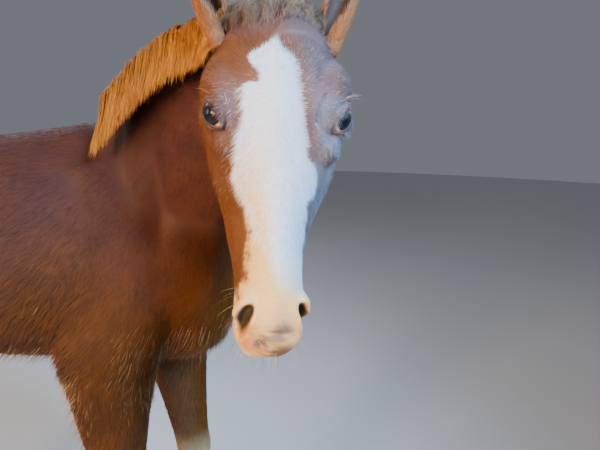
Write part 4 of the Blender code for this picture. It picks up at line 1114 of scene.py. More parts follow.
def hoof(name, shades):
    """A hoof: rings that widen to the ground, with fine growth rings, a bevelled edge and a sloping top."""
    rows = np.array(HOOF)
    height = np.concatenate([(0.0, 0.0012), np.linspace(0.003, 0.080, 60)])
    forward, length, width = (np.interp(height, rows[:, 0], rows[:, i]) for i in (1, 2, 3))
    ridges = 1 + 0.006 * np.sin(height * math.tau / 0.0085) + 0.004 * np.sin(height * math.tau / 0.0037 + 1)
    ridges[:2] = 0.985, 0.997
    foot, top = leg_line(name, (0.0, HOOF_TOP))
    shift = LEGS[name][3][0][1]
    x = foot[0] - shift + forward
    level = np.stack([x, np.full_like(x, foot[1]), height], 1)
    length, width = length * ridges, width * ridges
    rings = sections(level, (1, 0, 0), (0, 1, 0), length, width, width, 2.15, 2.15, 64)
    ceiling = top[2] + math.tan(HOOF_SLOPE) * (rings[:, :, 0] - top[0]) - 0.0006
    rings[:, :, 2] *= ceiling / 0.080
    points, faces = tube(rings)
    band = ripple(points * (0.2, 0.2, 1.0), 0.012, 31)
    colour = mixed(shades["horn"], shades["horn_dark"], np.clip(0.35 + 0.35 * band, 0, 1))
    return points, faces, colour


def lie_rows():
    """Every place where the coat's lie is set: place, way, hair length and lift, in the foal's frame."""
    rows = []
    for spot, way, length, lift in HEAD_LIE:
        for side in sides_of(spot):
            mirror = np.array((1, side, 1))
            rows.append((*in_head(spot * mirror), *(way * mirror @ AXES), length, lift))
    for spot, way, length, lift, paired in BODY_LIE:
        for side in ((1, -1) if paired else (1,)):
            rows.append((spot[0], spot[1] * side, spot[2], way[0], way[1] * side, way[2], length, lift))
    for name in LEGS:
        for height, length, lift in LEG_LIE:
            rows.append((*leg_line(name, height)[0], -0.15, 0.0, -1.0, length, lift))
    return np.array(rows)


def coat_lie(points, normals):
    """The way the hair lies at each point, its length and its lift: the set places' mean, weighted by
    one over distance to the fourth power, laid flat on the skin and turned by a slow ripple."""
    rows = lie_rows()
    way, length, lift = np.empty_like(points), np.empty(len(points)), np.empty(len(points))
    for start in range(0, len(points), 20000):
        part = slice(start, start + 20000)
        square = ((points[part, None] - rows[None, :, :3]) ** 2).sum(2)
        weight = 1 / (square + 0.0004) ** 2
        weight /= weight.sum(1, keepdims=True)
        way[part] = weight @ rows[:, 3:6]
        length[part] = weight @ rows[:, 6]
        lift[part] = weight @ rows[:, 7]
    way = flat_to(way, normals)
    across = np.cross(normals, way)
    swirl = 0.16 * ripple(points, 0.030, 41) + 0.10 * ripple(points, 0.011, 42)
    return units(way + across * swirl[:, None]), length, lift


def roots_on(made, wanted, gap, draw):
    """Random places on the faces where wanted is above 0: points and normals.
    The number is the area over the gap squared, drawn evenly along the faces' summed areas."""
    mesh = made.data
    mesh.calc_loop_triangles()
    corners = column(mesh.loop_triangles, "vertices", np.int32)
    points, normals = places(made), normals_of(made)
    a, b, c = (points[corners[:, i]] for i in range(3))
    middle = (a + b + c) / 3
    area = np.linalg.norm(np.cross(b - a, c - a), axis=1) / 2 * wanted(middle) / hair_gap(middle, gap) ** 2
    total = np.cumsum(area)
    count = int(total[-1])
    spots = (np.arange(count) + draw.uniform(0, 1, count)) * total[-1] / count
    face = np.minimum(np.searchsorted(total, spots), len(total) - 1)
    s, t = draw.uniform(0, 1, (2, count))
    flip = s + t > 1
    s, t = np.where(flip, 1 - s, s), np.where(flip, 1 - t, t)
    weights = np.stack([1 - s - t, s, t], 1)
    corner = corners[face]
    point = (points[corner] * weights[..., None]).sum(1)
    normal = units((normals[corner] * weights[..., None]).sum(1))
    return point, normal


def spikes(spines, widths, flats, outs, thin):
    """Pointed hairs of three sides: a triangle at each point of a spine but the last, closed at the
    root, and drawn to the last point. Gives points and faces."""
    count, stations = spines.shape[:2]
    rings = stations - 1
    lean = np.array((-1.0, 1.0, 0.0))
    rise = np.array((-0.35, -0.35, 0.75)) * thin * 2
    base = spines[:, :-1, None]
    wide = widths[..., None, None] * lean[:, None] * flats[:, :-1, None]
    tall = widths[..., None, None] * rise[:, None] * outs[:, :-1, None]
    ring = (base + wide + tall).reshape(count, rings * 3, 3)
    points = np.concatenate([ring, spines[:, -1:]], 1)
    faces = [(0, 2, 1)]
    for i in range(rings - 1):
        for j in range(3):
            k = (j + 1) % 3
            a, b, c, d = 3 * i + j, 3 * i + k, 3 * i + 3 + k, 3 * i + 3 + j
            faces += [(a, b, c), (a, c, d)]
    low = 3 * (rings - 1)
    faces += [(low + j, low + (j + 1) % 3, 3 * rings) for j in range(3)]
    faces = np.array(faces)
    trial = outward(points[0], faces)
    return points, (trial[None] + (np.arange(count) * points.shape[1])[:, None, None]).reshape(-1, 3)


def hair_object(name, spines, widths, normals, colours, roots_uv, gradient, thin=0.45, soft=0.6):
    """One object of many hairs. Each hair's colour is multiplied along it by the gradient, which darkens it
    toward its root as painted shade and lightens it toward its tip; its shading follows the skin it grows
    from, and its patch of the UV map is 0.003 across at its root."""
    count, stations = spines.shape[:2]
    travel = units(np.gradient(spines, axis=1))
    outs = flat_to(np.broadcast_to(normals[:, None], travel.shape), travel)
    flats = np.cross(travel, outs)
    points, faces = spikes(spines, widths, flats, outs, thin)
    per = points.shape[1]
    lean = np.concatenate([np.tile((-1.0, 1.0, 0.0), stations - 1), (0.0,)])
    step = np.concatenate([np.repeat(np.arange(stations - 1), 3), (stations - 1,)])
    up = outs[:, step] * soft + normals[:, None] * (1 - soft)
    shading = units(up + flats[:, step] * (lean * 0.75)[None, :, None])
    share = step / (stations - 1)
    # Painted shade: the factors along each hair darken it toward its root, where the hairs shade each other,
    # and lighten it toward its tip.
    tint = np.interp(share, np.linspace(0, 1, len(gradient)), gradient)
    colour = np.clip(colours[:, None] * tint[None, :, None], 0, 1)
    patch = roots_uv[:, None] + np.stack([lean * PATCH / 2, (share - 0.5) * PATCH], 1)[None]
    points, colour, shading = (rows.reshape(-1, 3) for rows in (points, colour, shading))
    return new_object(name, points, faces, colour, shading, patch.reshape(-1, 2))


def unwrap(points, chart):
    """Places on an unwrap of the skin: the turn round a part's own middle line, and the way along it."""
    if chart == "head":
        along, out, front = head_places(points).T
        turn = np.arctan2(out, front + 0.08)
        return np.stack([turn / math.tau + 0.5, (along + 0.06) / 0.47], 1) * 0.98 + 0.01
    x, y, z = points.T
    if chart == "legs":
        number, turn = np.zeros(len(points)), np.zeros(len(points))
        nearest = np.full(len(points), np.inf)
        for index, name in enumerate(LEGS):
            middle = leg_line(name, z)
            far = np.hypot(x - middle[:, 0], y - middle[:, 1])
            closer = far < nearest
            nearest = np.where(closer, far, nearest)
            number = np.where(closer, index, number)
            turn = np.where(closer, np.arctan2(y - middle[:, 1], x - middle[:, 0]), turn)
        return np.stack([(number + turn / math.tau + 0.5) / 4, z / 1.1], 1) * 0.98 + 0.01
    middle_y = np.interp(x, (0.0, 0.29), (0.0, -0.21))
    middle_z = np.interp(x, (-0.8, 0.0, 0.29), (0.86, 0.86, 1.10))
    turn = np.arctan2(y - middle_y, z - middle_z)
    return np.stack([turn / math.tau + 0.5, (x + 0.85) / 1.20], 1) * 0.98 + 0.01


def hair_gap(points, gap):
    """Roots closer together on the muzzle's fine hair."""
    along = head_places(points)[:, 0] * headness(points)
    return gap * (1 - 0.12 * smooth(0.30, 0.34, along))


def hair_width(points, width):
    """Thinner hairs on the muzzle."""
    along = head_places(points)[:, 0] * headness(points)
    return width * (1 - 0.45 * smooth(0.28, 0.35, along))


def tufts(name, skin, wanted, gap, width, chart, seed, sizes, shades):
    """Short coat over part of the skin: straight hairs that leave it at their lift and follow its lie."""
    draw = np.random.default_rng(seed)
    root, normal = roots_on(skin, wanted, gap, draw)
    way, length, lift = coat_lie(root, normal)
    way = units(way + np.cross(normal, way) * draw.normal(0, 0.12, (len(root), 1)))
    length = (length * draw.uniform(0.70, 1.20, len(root)) * sizes.hair_length)[:, None]
    rise = (lift * draw.uniform(0.4, 1.3, len(root)))[:, None]
    spines = np.stack([root - normal * 0.0008, root + (way + normal * rise * 0.60) * length], 1)
    thick = hair_width(root, width)[:, None] * draw.uniform(0.75, 1.25, (len(root), 1)) * (0.7 + 22 * length)
    colour = coat_colours(root + way * length * 0.55, shades)
    chance, much = draw.uniform(0, 1, (2, len(root)))
    colour = mixed(colour, shades["white"], (chance < roan(root)) * (0.06 + 0.20 * much))
    colour = mixed(colour, shades["straw"], (chance < straws(root)) * (0.10 + 0.30 * much))
    clump = 1 + 0.09 * ripple(root, 0.012, seed) + 0.20 * ripple(root, 0.0035, seed + 9)
    clump += draw.normal(0, 0.15, len(root))
    colour = colour * np.clip(clump, 0.6, 1.4)[:, None]
    # The coat's hairs: darker at the root as painted shade, lighter at the tip.
    return hair_object(name, spines, thick, normal, colour, unwrap(root, chart), (0.80, 1.12))


def clear_of(points, skin_points, skin_normals, distance):
    """Points pushed out to a distance from the plane of the nearest skin point, where nearer."""
    flat = points.reshape(-1, 3)
    moved = flat.copy()
    for start in range(0, len(flat), 2000):
        part = flat[start:start + 2000]
        near = ((part[:, None] - skin_points[None]) ** 2).sum(2).argmin(1)
        high = ((part - skin_points[near]) * skin_normals[near]).sum(1)
        need = np.maximum(distance.ravel()[start:start + 2000] - high, 0)
        moved[start:start + 2000] = part + need[:, None] * skin_normals[near]
    return moved.reshape(points.shape)


def sparse_skin(skin, wanted, count, draw):
    """Some of the skin's points and normals, where wanted."""
    points, normals = places(skin), normals_of(skin)
    chosen = np.nonzero(wanted(points))[0]
    chosen = draw.choice(chosen, min(count, len(chosen)), replace=False)
    return points[chosen], normals[chosen]


def strands(guides, per, stations, root_spread, tip_spread, draw, waves):
    """Hairs that follow guide hairs: each keeps a set distance from its guide, wider at the root than
    at the tip, ends a little short of it or past it, and waves slowly."""
    count, rows = guides.shape[:2]
    share = np.linspace(0, 1, stations)
    reach = draw.uniform(0.80, 1.04, (count, per, 1))
    at = np.clip(share * reach, 0, 1) * (rows - 1)
    low = np.minimum(at.astype(int), rows - 2)
    part = (at - low)[..., None]
    index = np.arange(count)[:, None, None]
    spine = guides[index, low] * (1 - part) + guides[index, low + 1] * part
    offset = draw.normal(0, 1, (count, per, 1, 3)) * root_spread
    drift = draw.normal(0, 1, (count, per, 1, 3)) * tip_spread
    blend = share[None, None, :, None]
    spine = spine + offset * (1 - blend) + drift * blend
    phase = draw.uniform(0, math.tau, (count, per, 1, 3))
    turns = draw.uniform(0.8, 1.8, (count, per, 1, 1))
    spine = spine + waves * blend * np.sin(phase + turns * math.tau * blend)
    return spine.reshape(-1, stations, 3)


def rounded(rows, stations):
    """Each guide's few points as a smooth curve with more of them."""
    count, few = rows.shape[:2]
    spans = smooth_rows(np.moveaxis(rows, 1, 0).reshape(few, -1), 6)
    curve = np.moveaxis(spans.reshape(len(spans), count, 3), 0, 1)
    pick = np.linspace(0, curve.shape[1] - 1, stations)
    low = np.minimum(pick.astype(int), curve.shape[1] - 2)
    part = (pick - low)[None, :, None]
    return curve[:, low] * (1 - part) + curve[:, low + 1] * part


def mane_guides(count, skin, draw):
    """Guide hairs along the crest that stand up, turn over to the right side and hang down it."""
    rows = smooth_rows(NECK)
    share = np.linspace(0, 1, len(rows))
    at = np.linspace(0.18, 0.73, count) + draw.uniform(-0.004, 0.004, count)
    crest, later, throat = (
        np.stack([np.interp(spot, share, rows[:, k]) for k in columns], 1)
        for spot, columns in ((at, (0, 1, 2)), (at + 0.02, (0, 1, 2)), (at, (3, 4, 5)))
    )
    up, ahead = units(crest - throat), units(later - crest)
    right = units(np.cross(ahead, up))
    row = draw.uniform(-1, 1, count)
    length = (0.092 - 0.085 * at + draw.uniform(-0.014, 0.004, count))[:, None]
    rise = (0.016 + draw.uniform(0.0, 0.012, count))[:, None]
    lean = (draw.uniform(-0.24, 0.08, count) - 0.9 * np.maximum(0.0, at - 0.58))[:, None]
    swing = units(right * 0.55 + np.array((0, 0, -1.0)) + ahead * lean)
    side = (0.006 * row)[:, None] * right
    spine = np.stack([
        crest - up * 0.012 + side,
        crest + up * rise * 0.45 + right * 0.010 + side,
        crest + up * rise + right * 0.030,
        crest + up * rise * 0.2 + right * 0.046 + swing * length * 0.30,
        crest + right * 0.050 + swing * length * 0.70,
        crest + right * 0.046 + swing * length * 1.05,
    ], 1)
    off = 0.004 + 0.009 * draw.uniform(0, 1, (count, 1)) + 0.001 * np.arange(6)
    off[:, :2] = -1.0
    neck_points, neck_normals = sparse_skin(skin, lambda p: (p[:, 0] > -0.05) & (p[:, 2] > 0.85), 5000, draw)
    return clear_of(spine, neck_points, neck_normals, off), units(up * 0.6 + right * 0.8)


def on_skin(skin, spots, ways, reach=0.12):
    """Where lines through the spots meet the skin from outside: points and normals, where they do."""
    found = []
    for spot, way in zip(*np.broadcast_arrays(spots, ways)):
        hit, place, normal, _ = skin.ray_cast(Vector(spot + CENTRE - way * reach), Vector(way))
        if hit:
            found.append((*(np.array(place) - CENTRE), *normal))
    found = np.array(found)
    return found[:, :3], found[:, 3:]


def forelock_guides(count, skin, draw):
    """Guide hairs between the ears: short tufts that stand and turn every way, most of them forward."""
    out = np.linspace(-1, 1, count) * 0.043 + draw.uniform(-0.004, 0.004, count)
    back = draw.uniform(-0.024, 0.014, count)
    spots = in_head(np.stack([back, out, np.zeros(count)], 1))
    root, normal = on_skin(skin, spots, -FACE)
    out = head_places(root)[:, 1]
    count = len(root)
    length = draw.uniform(0.014, 0.030, (count, 1))
    way = ALONG * draw.uniform(0.5, 1.0, (count, 1))
    way = way + LEFT * (out * 8 + draw.uniform(-0.5, 0.5, count))[:, None]
    high = normal * draw.uniform(0.5, 1.25, (count, 1))
    return np.stack([
        root - normal * 0.003,
        root + high * 0.009 + way * length * 0.08,
        root + high * 0.013 + way * length * 0.42,
        root + high * 0.011 + way * length * 0.75,
        root + high * 0.006 + way * length * 1.05,
    ], 1), normal


def tail_guides(count, draw):
    """Guide hairs that leave the dock all round and hang in waves, drawn together at the tip."""
    rows = smooth_rows(TAIL)
    share = np.linspace(0, 1, len(rows))
    at = draw.uniform(0.24, 0.98, count) ** 0.8
    x, z, width, depth = (np.interp(at, share, rows[:, k]) for k in range(4))
    turn = draw.uniform(0, math.tau, count)
    out = np.stack([-np.cos(turn), np.sin(turn), 0 * turn], 1)
    root = np.stack([x, 0 * x, z], 1) + out * np.stack([depth, width, 0 * x], 1) * 0.9
    bottom = TAIL_TIP + draw.uniform(-0.020, 0.055, count)
    fall = np.maximum(z - bottom, 0.05)
    steps = np.array((0.0, 0.12, 0.35, 0.65, 1.0))
    wide = np.array((0.0, 0.012, 0.020, 0.016, 0.004)) * draw.uniform(0.3, 1.1, (count, 1))
    level = root[:, 2, None] - fall[:, None] * steps
    hang = np.clip((0.96 - level) / 0.10, 0, 1)[..., None]
    flat = root[:, None, :2] * (1 - hang) + (np.array((TAIL_MIDDLE, 0.0)) + out[:, None, :2] * 0.024) * hang
    spine = np.concatenate([flat, level[..., None]], 2) + out[:, None] * wide[..., None]
    spine[:, 0] = root - out * 0.003
    wave = draw.uniform(-0.008, 0.008, (count, 1, 3)) * np.sin(steps * math.tau)[None, :, None]
    return spine + wave, units(out + np.array((-0.2, 0, 0.2)))


def feather_guides(name, count, draw):
    """Guide hairs from behind and beside the cannon's foot that hang over the fetlock to the hoof."""
    turn = math.pi * draw.uniform(0.42, 1.58, count)
    out = np.stack([np.cos(turn), np.sin(turn), 0 * turn], 1)
    height = draw.uniform(0.095, 0.205, count)
    fall = draw.uniform(0.045, 0.078, count) + 0.030 * smooth(0.12, 0.19, height)
    fall = np.minimum(fall, height - 0.030)[:, None]
    skin_out = np.interp(height, (0.09, 0.128, 0.17, 0.21), (0.029, 0.032, 0.026, 0.024))[:, None]
    root = leg_line(name, height) + out * skin_out
    down = np.array((-0.10, 0, -1.0))
    return np.stack([
        root - out * 0.003,
        root + out * 0.006 + down * fall * 0.25,
        root + out * 0.009 + down * fall * 0.60,
        root + out * 0.004 + down * fall,
    ], 1), out


def lash_spines(side, draw, count=44):
    """Lashes: hairs from the upper lid's edge that bend out and down, longest in the middle."""
    centre, look, long, across = eye_frame(side)
    up = across * np.sign(across @ -ALONG)
    place = np.linspace(-0.80, 0.85, count) + draw.uniform(-0.01, 0.01, count)
    a = place * EYE_OPENING[0]
    b = EYE_OPENING[1] * np.sqrt(np.maximum(1 - place**2, 0.02)) ** 1.35
    reach = EYE_RADIUS + 0.0012
    flat = long * a[:, None] + up * b[:, None]
    root = centre + flat + look * np.sqrt(reach**2 - a * a - b * b)[:, None]
    length = 0.0085 * np.sqrt(np.maximum(1 - (place / 1.05) ** 2, 0.05)) * draw.uniform(0.75, 1.15, count)
    length = length[:, None]
    way = units(look * 0.85 + up * 0.45 + long * (place * 0.5 + draw.normal(0, 0.12, count))[:, None])
    droop = -up * 0.55 + look * 0.3
    tip = root + way * length * 0.85 + droop * length * 0.30
    return np.stack([root, root + way * length * 0.5, tip], 1), look


def whisker_spines(skin, draw, count=110):
    """Long fine hairs on the lips and chin, clear of the nostrils."""
    along = draw.uniform(0.318, 0.385, count)
    out = draw.uniform(-0.045, 0.045, count)
    front = draw.uniform(-0.11, -0.02, count)
    spots = in_head(np.stack([along, out, front], 1))
    middle = in_head((0.335, 0, -0.062))
    root, normal = on_skin(skin, middle, units(middle - spots))
    apart = np.min([np.linalg.norm(root - nostril_frame(side)[0], axis=1) for side in (-1, 1)], axis=0)
    root, normal = root[apart > 0.020], normal[apart > 0.020]
    low = smooth(-0.06, -0.09, head_places(root)[:, 2])
    length = (draw.uniform(0.012, 0.030, len(root)) * (1 + 0.6 * low))[:, None]
    way = units(normal * 0.9 + ALONG * 0.45 + draw.normal(0, 0.15, (len(root), 3)))
    bend = ALONG * 0.5 - FACE * 0.1
    spines = np.stack([root, root + way * length * 0.5, root + (way + bend * 0.3) * length], 1)
    return spines, normal


def fringe_spines(skin, side, draw, count):
    """Long white hairs that sweep from one edge of the blaze over the brown beside it."""
    low, high, table, way = (
        (0.100, 0.262, BLAZE_RIGHT_EDGE, ALONG * 0.80 - LEFT * 0.60) if side < 0 else
        (0.060, 0.165, BLAZE_LEFT_EDGE, LEFT * 0.95 - ALONG * 0.15)
    )
    along = draw.uniform(low, high, count)
    out = between(table, along) - side * draw.uniform(0.000, 0.009, count)
    root, normal = on_skin(skin, in_head(np.stack([along, out, 0 * along], 1)), -FACE)
    way = flat_to(way + draw.normal(0, 0.16, (len(root), 3)), normal)
    length = draw.uniform(0.008, 0.015, (len(root), 1)) * (1.0 if side < 0 else 0.6)
    return np.stack([
        root - normal * 0.0006,
        root + (way + normal * 0.22) * length * 0.5,
        root + (way + normal * draw.uniform(0.08, 0.26, (len(root), 1))) * length,
    ], 1), normal


def hanging_spines(skin, draw, wanted, way, short, long, count):
    """Long hairs that leave a part of the skin and hang a way, between two lengths."""
    root, normal = sparse_skin(skin, wanted, count, draw)
    length = draw.uniform(short, long, (len(root), 1))
    ahead = flat_to(np.array(way) + draw.normal(0, 0.14, (len(root), 3)), normal)
    fall = units(ahead + np.array(way) * 0.7 + normal * 0.12)
    return np.stack([
        root - normal * 0.0008,
        root + (ahead + normal * 0.25) * length * 0.35,
        root + (ahead * 0.6 + fall * 0.4 + normal * 0.30) * length * 0.70,
        root + (ahead * 0.4 + fall * 0.6 + normal * 0.28) * length,
    ], 1), normal


def within(points, back, front, low, high, out=1.0):
    """Whether each point lies between two places forward, two heights, and so far off the middle."""
    x, y, z = points.T
    return (x > back) & (x < front) & (z > low) & (z < high) & (np.abs(y) < out)


def under_breast(points):
    """The breast's foot, between and before the forelegs."""
    return within(points, 0.02, 0.19, 0.60, 0.735, 0.11)


def behind_elbow(points):
    """The back edge of the right upper foreleg."""
    back = leg_line("foreleg_right", points[:, 2])[:, 0] - 0.034
    return within(points, -0.14, back, 0.42, 0.66) & (points[:, 1] < -0.02)


def under_belly(points):
    return within(points, -0.50, -0.08, -1.0, 0.70, 0.12)


def brow_spines(skin, side, draw, count=9):
    """Long brow hairs above an eye."""
    centre, look, long, across = eye_frame(side)
    up = across * np.sign(across @ -ALONG)
    turn = draw.uniform(0.6, 2.9, count)
    reach = draw.uniform(0.020, 0.029, count)
    spots = centre + (np.cos(turn) * reach)[:, None] * long + (np.sin(turn) * reach)[:, None] * up
    root, normal = on_skin(skin, spots, -look)
    length = draw.uniform(0.014, 0.024, len(root))[:, None]
    away = units(root - centre)
    way = units(normal + away * 0.7 + draw.normal(0, 0.15, (len(root), 3)))
    tip = root + way * length * 0.95 + ALONG * length * 0.2
    return np.stack([root, root + way * length * 0.55, tip], 1), normal


def ear_hairs(side, draw, count, inside):
    """Hairs on an ear: short and close along its back, or long from its edges across its hollow."""
    share = draw.uniform(-0.08, 0.97, count)
    base, way, _, opening = ear_frame(side, share)
    reach = np.interp(share, EAR_STATIONS, EAR_REACHES)
    if inside:
        turn = reach * draw.choice((-1, 1), count) * draw.uniform(0.62, 1.0, count)
    else:
        turn = reach * draw.uniform(-1, 1, count)
    at, later = ear_surface(side, share, turn, 0.0), ear_surface(side, share + 0.01, turn, 0.0)
    aside = ear_surface(side, share, turn + 0.05, 0.0)
    normal = units(np.cross(aside - at, later - at))
    middle = base + way * (EAR_LENGTH * share)[:, None]
    normal = normal * np.sign((normal * (at - middle)).sum(1))[:, None]
    ahead = units(later - at)
    if inside:
        length = draw.uniform(0.010, 0.019, count)[:, None] * (1 - 0.5 * share[:, None])
        goal = units(ahead * 0.8 - normal * 0.35 + opening * 0.35 + draw.normal(0, 0.12, (count, 3)))
        tip = at + goal * length + ahead * length * 0.15
        return np.stack([at, at + goal * length * 0.5, tip], 1), opening
    length = draw.uniform(0.006, 0.010, count)[:, None] * (1 - 0.35 * share[:, None])
    goal = units(ahead + normal * 0.12 + draw.normal(0, 0.10, (count, 3)))
    tip = at + goal * length - normal * length * 0.06
    return np.stack([at - normal * 0.0005, at + goal * length * 0.5, tip], 1), normal


class Surface:
    """A material and its shader, with the parts that the foal's materials share."""

    def __init__(self, name, values):
        self.material = bpy.data.materials.new(name)
        self.material.use_nodes = True
        self.nodes, self.links = self.material.node_tree.nodes, self.material.node_tree.links
        self.shader = self.nodes["Principled BSDF"]
        self.put(self.shader, values)

    def put(self, node, values):
        for name, value in values.items():
            node.inputs[name].default_value = value

    def add(self, kind, values, **sources):
        """A new node with its values set, and a source linked to each named input."""
        node = self.nodes.new("ShaderNode" + kind)
        self.put(node, values)
        for name, source in sources.items():
            self.links.new(source, node.inputs[name])
        return node

    def noise(self, scale, detail, stretch=(1.0, 1.0, 1.0)):
        """A noise over the object's own places, finer along the axes that are stretched."""
        place = self.add("TexCoord", {}).outputs["Object"]
        place = self.add("Mapping", {"Scale": stretch}, Vector=place).outputs["Vector"]
        return self.add("TexNoise", {"Scale": scale, "Detail": detail}, Vector=place).outputs["Fac"]

    def between(self, source, low, high):
        return self.add("MapRange", {"To Min": low, "To Max": high}, Value=source).outputs["Result"]

    def painted(self, tone=None):
        """The shader's colour: the painted one, times a tone where one is given."""
        paint_node = self.add("Attribute", {})
        paint_node.attribute_name = COAT_ATTRIBUTE
        colour = paint_node.outputs["Color"]
        if tone is not None:
            vary = self.add("VectorMath", {})
            vary.operation = "SCALE"
            self.links.new(tone, vary.inputs["Scale"])
            self.links.new(colour, vary.inputs[0])
            colour = vary.outputs["Vector"]
        self.links.new(colour, self.shader.inputs["Base Color"])

    def bumped(self, height, strength, distance):
        raised = self.add("Bump", {"Strength": strength, "Distance": distance}, Height=height)
        self.links.new(raised.outputs["Normal"], self.shader.inputs["Normal"])


def hair_material(name, roughness, specular, pitch, bump):
    """Hair and skin: the painted colour, varied by a fine noise, with a soft gloss and a little sheen."""
    gloss = {"Roughness": roughness, "Specular IOR Level": specular}
    made = Surface(name, {**gloss, "Sheen Weight": 0.03, "Sheen Roughness": 0.45})
    grain = made.noise(1 / pitch, 3.0)
    made.painted(made.between(grain, 0.86, 1.14))
    if bump:
        made.bumped(grain, bump, 0.001)
    return made.material


def eye_material():
    """A wet eye: the painted colours under a clear coat."""
    gloss = {"Roughness": 0.20, "Specular IOR Level": 0.3}
    made = Surface("wet eye", {**gloss, "Coat Weight": 0.10, "Coat Roughness": 0.03})
    made.painted()
    return made.material


def horn_material():
    """Hoof horn: the painted bands, crossed by fine upright streaks, with a dull gloss."""
    made = Surface("hoof horn", {"Specular IOR Level": 0.4})
    streak = made.noise(1.0, 2.0, (600.0, 600.0, 25.0))
    made.links.new(made.between(streak, 0.35, 0.60), made.shader.inputs["Roughness"])
    made.painted(made.between(streak, 0.75, 1.20))
    made.bumped(streak, 0.25, 0.0006)
    return made.material


def floor_material():
    """A plain pale floor with a barely seen mottle."""
    made = Surface("pale floor", {"Roughness": 0.85})
    tone = made.between(made.noise(2.5, 2.0), 0.62, 0.66)
    made.links.new(tone, made.shader.inputs["Base Color"])
    return made.material


def dress(made, material, slot, *nodes):
    """Gives a piece its material and its body, and hides the nodes that it stands for. The slot is not used.
    """
    made.data.materials.clear()
    made.data.materials.append(material)
    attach(made, BODY)
    if nodes:
        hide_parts(*nodes)
    return made


def shared_material(name, *values):
    """The named hair material, made once."""
    return bpy.data.materials.get(name) or hair_material(name, *values)


def skin_material():
    return shared_material("skin", 0.60, 0.28, 0.0016, 0.35)


def coat_material():
    return shared_material("coat", 0.62, 0.18, 0.004, 0.0)


def long_hair_material():
    return shared_material("long hair", 0.50, 0.28, 0.004, 0.0)


def shade(name, about, default):
    return FloatVectorProperty(
        name=name, description=about, subtype="COLOR", size=3, min=0.0, max=1.0, default=default
    )


def length(name, about, default):
    return FloatProperty(
        name=name, description=about, default=default, min=0.0, subtype="DISTANCE", unit="LENGTH"
    )


def times(name, about, default):
    return FloatProperty(name=name, description=about, default=default)


def number(name, about, default):
    return IntProperty(name=name, description=about, default=default)


class FoalSizes(bpy.types.PropertyGroup):
    """Sizes and numbers of the foal's skin and coat."""

    voxel: length("Skin voxel", "Fineness at which the flesh is fused", 0.0028)
    skin_triangles: number("Skin triangles", "Triangles of the whole skin", 185000)
    hair_length: times("Hair length", "Times the set length of the coat", 1.0)
    face_spacing: length("Face spacing", "Way between the roots of the face's hairs", 0.00152)
    neck_spacing: length("Neck spacing", "Way between the roots on the neck and shoulders", 0.00180)
    trunk_spacing: length("Trunk spacing", "Way between the roots on the barrel and croup", 0.00330)
    leg_spacing: length("Leg spacing", "Way between the roots on the lower legs", 0.00280)
    mane_strands: number("Mane strands", "Hairs in the mane", 4600)
    tail_strands: number("Tail strands", "Hairs in the tail", 4200)


class FoalColours(bpy.types.PropertyGroup):
    """Colours of the foal's coat, skin, eyes and hooves."""

    # Chestnut and amber are partly the coat's own colours and partly painted light: the purplish chestnut
    # stands for cool light on the back, the orange amber for warm light on the breast and legs.
    chestnut: shade("Chestnut", "Back and shoulders", (0.082, 0.026, 0.021))
    amber: shade("Amber", "Breast, legs and lower neck", (0.132, 0.040, 0.0035))
    face: shade("Face", "Cheeks and brow", (0.250, 0.096, 0.048))
    cream: shade("Cream", "Pale hair under the body", (0.700, 0.470, 0.250))
    straw: shade("Straw", "Long pale hairs of the breast and belly", (0.660, 0.400, 0.160))
    white: shade("White", "Blaze and socks", (0.870, 0.860, 0.860))
    # Grey is the mauve skin round the eyes, and is also laid over the left side of the face as painted cool
    # shade.
    grey: shade("Grey", "Dusky mauve by the eyes", (0.165, 0.108, 0.120))
    dusky: shade("Dusky skin", "Grey patches of the muzzle", (0.150, 0.095, 0.075))
    pink: shade("Pink", "Bare skin of the muzzle", (0.780, 0.430, 0.290))
    lip: shade("Lips", "Middle of the muzzle", (0.700, 0.400, 0.170))
    # Warm white is painted warm light on the blaze's right side and foot, and on the bare muzzle.
    warm: shade("Warm white", "Cream right side and foot of the blaze", (0.880, 0.500, 0.120))
    # Cool white is painted cool light on the blaze's left side and on the face's left side from the eye down.
    blue: shade("Cool white", "Bluish left side of the blaze", (0.560, 0.720, 0.930))
    peach: shade("Peach", "Warm rims of the nostrils and lips", (0.480, 0.180, 0.045))
    # Painted shade in the folds of the lips and at the mouth's corner.
    fold_shade: shade("Purple", "Dark folds of the lips", (0.075, 0.036, 0.034))
    brown: shade("Brown", "Shaded lower lip", (0.110, 0.055, 0.030))
    # Also painted as shade in the nostrils' depths and along the line where the lips meet.
    nostril: shade("Nostril", "Inside the nostrils and mouth", (0.034, 0.026, 0.014))
    lid: shade("Lids", "Edges of the lids", (0.060, 0.036, 0.036))
    caruncle: shade("Inner corner", "The pink inner corner of the eye", (0.560, 0.270, 0.220))
    eye_white: shade("White of the eye", "Sclera", (0.760, 0.660, 0.560))
    # The blue in the iris and pupil is a painted reflection.
    iris: shade("Iris", "Blue-black iris", (0.014, 0.020, 0.040))
    pupil: shade("Pupil", "Black pupil", (0.004, 0.006, 0.012))
    ear_back: shade("Ear backs", "Short hair on the ears' backs", (0.360, 0.135, 0.050))
    ear_fringe: shade("Ear fringe", "Long hairs on the ears' edges", (0.300, 0.170, 0.095))
    ear_inside: shade("Inside the ears", "Skin in the ears' hollows", (0.085, 0.040, 0.030))
    mane: shade("Mane", "Flaxen mane", (0.400, 0.155, 0.012))
    forelock: shade("Forelock", "Dusky forelock", (0.235, 0.145, 0.095))
    tail: shade("Tail", "Flaxen tail", (0.430, 0.170, 0.040))
    horn: shade("Horn", "Pale hoof horn", (0.480, 0.360, 0.230))
    horn_dark: shade("Dark horn", "Bands of the hooves", (0.280, 0.190, 0.120))
    whisker: shade("Whiskers", "Whiskers and brow hairs", (0.520, 0.380, 0.260))


SHADES = tuple(FoalColours.__annotations__)
SIDES = {1: "left", -1: "right"}


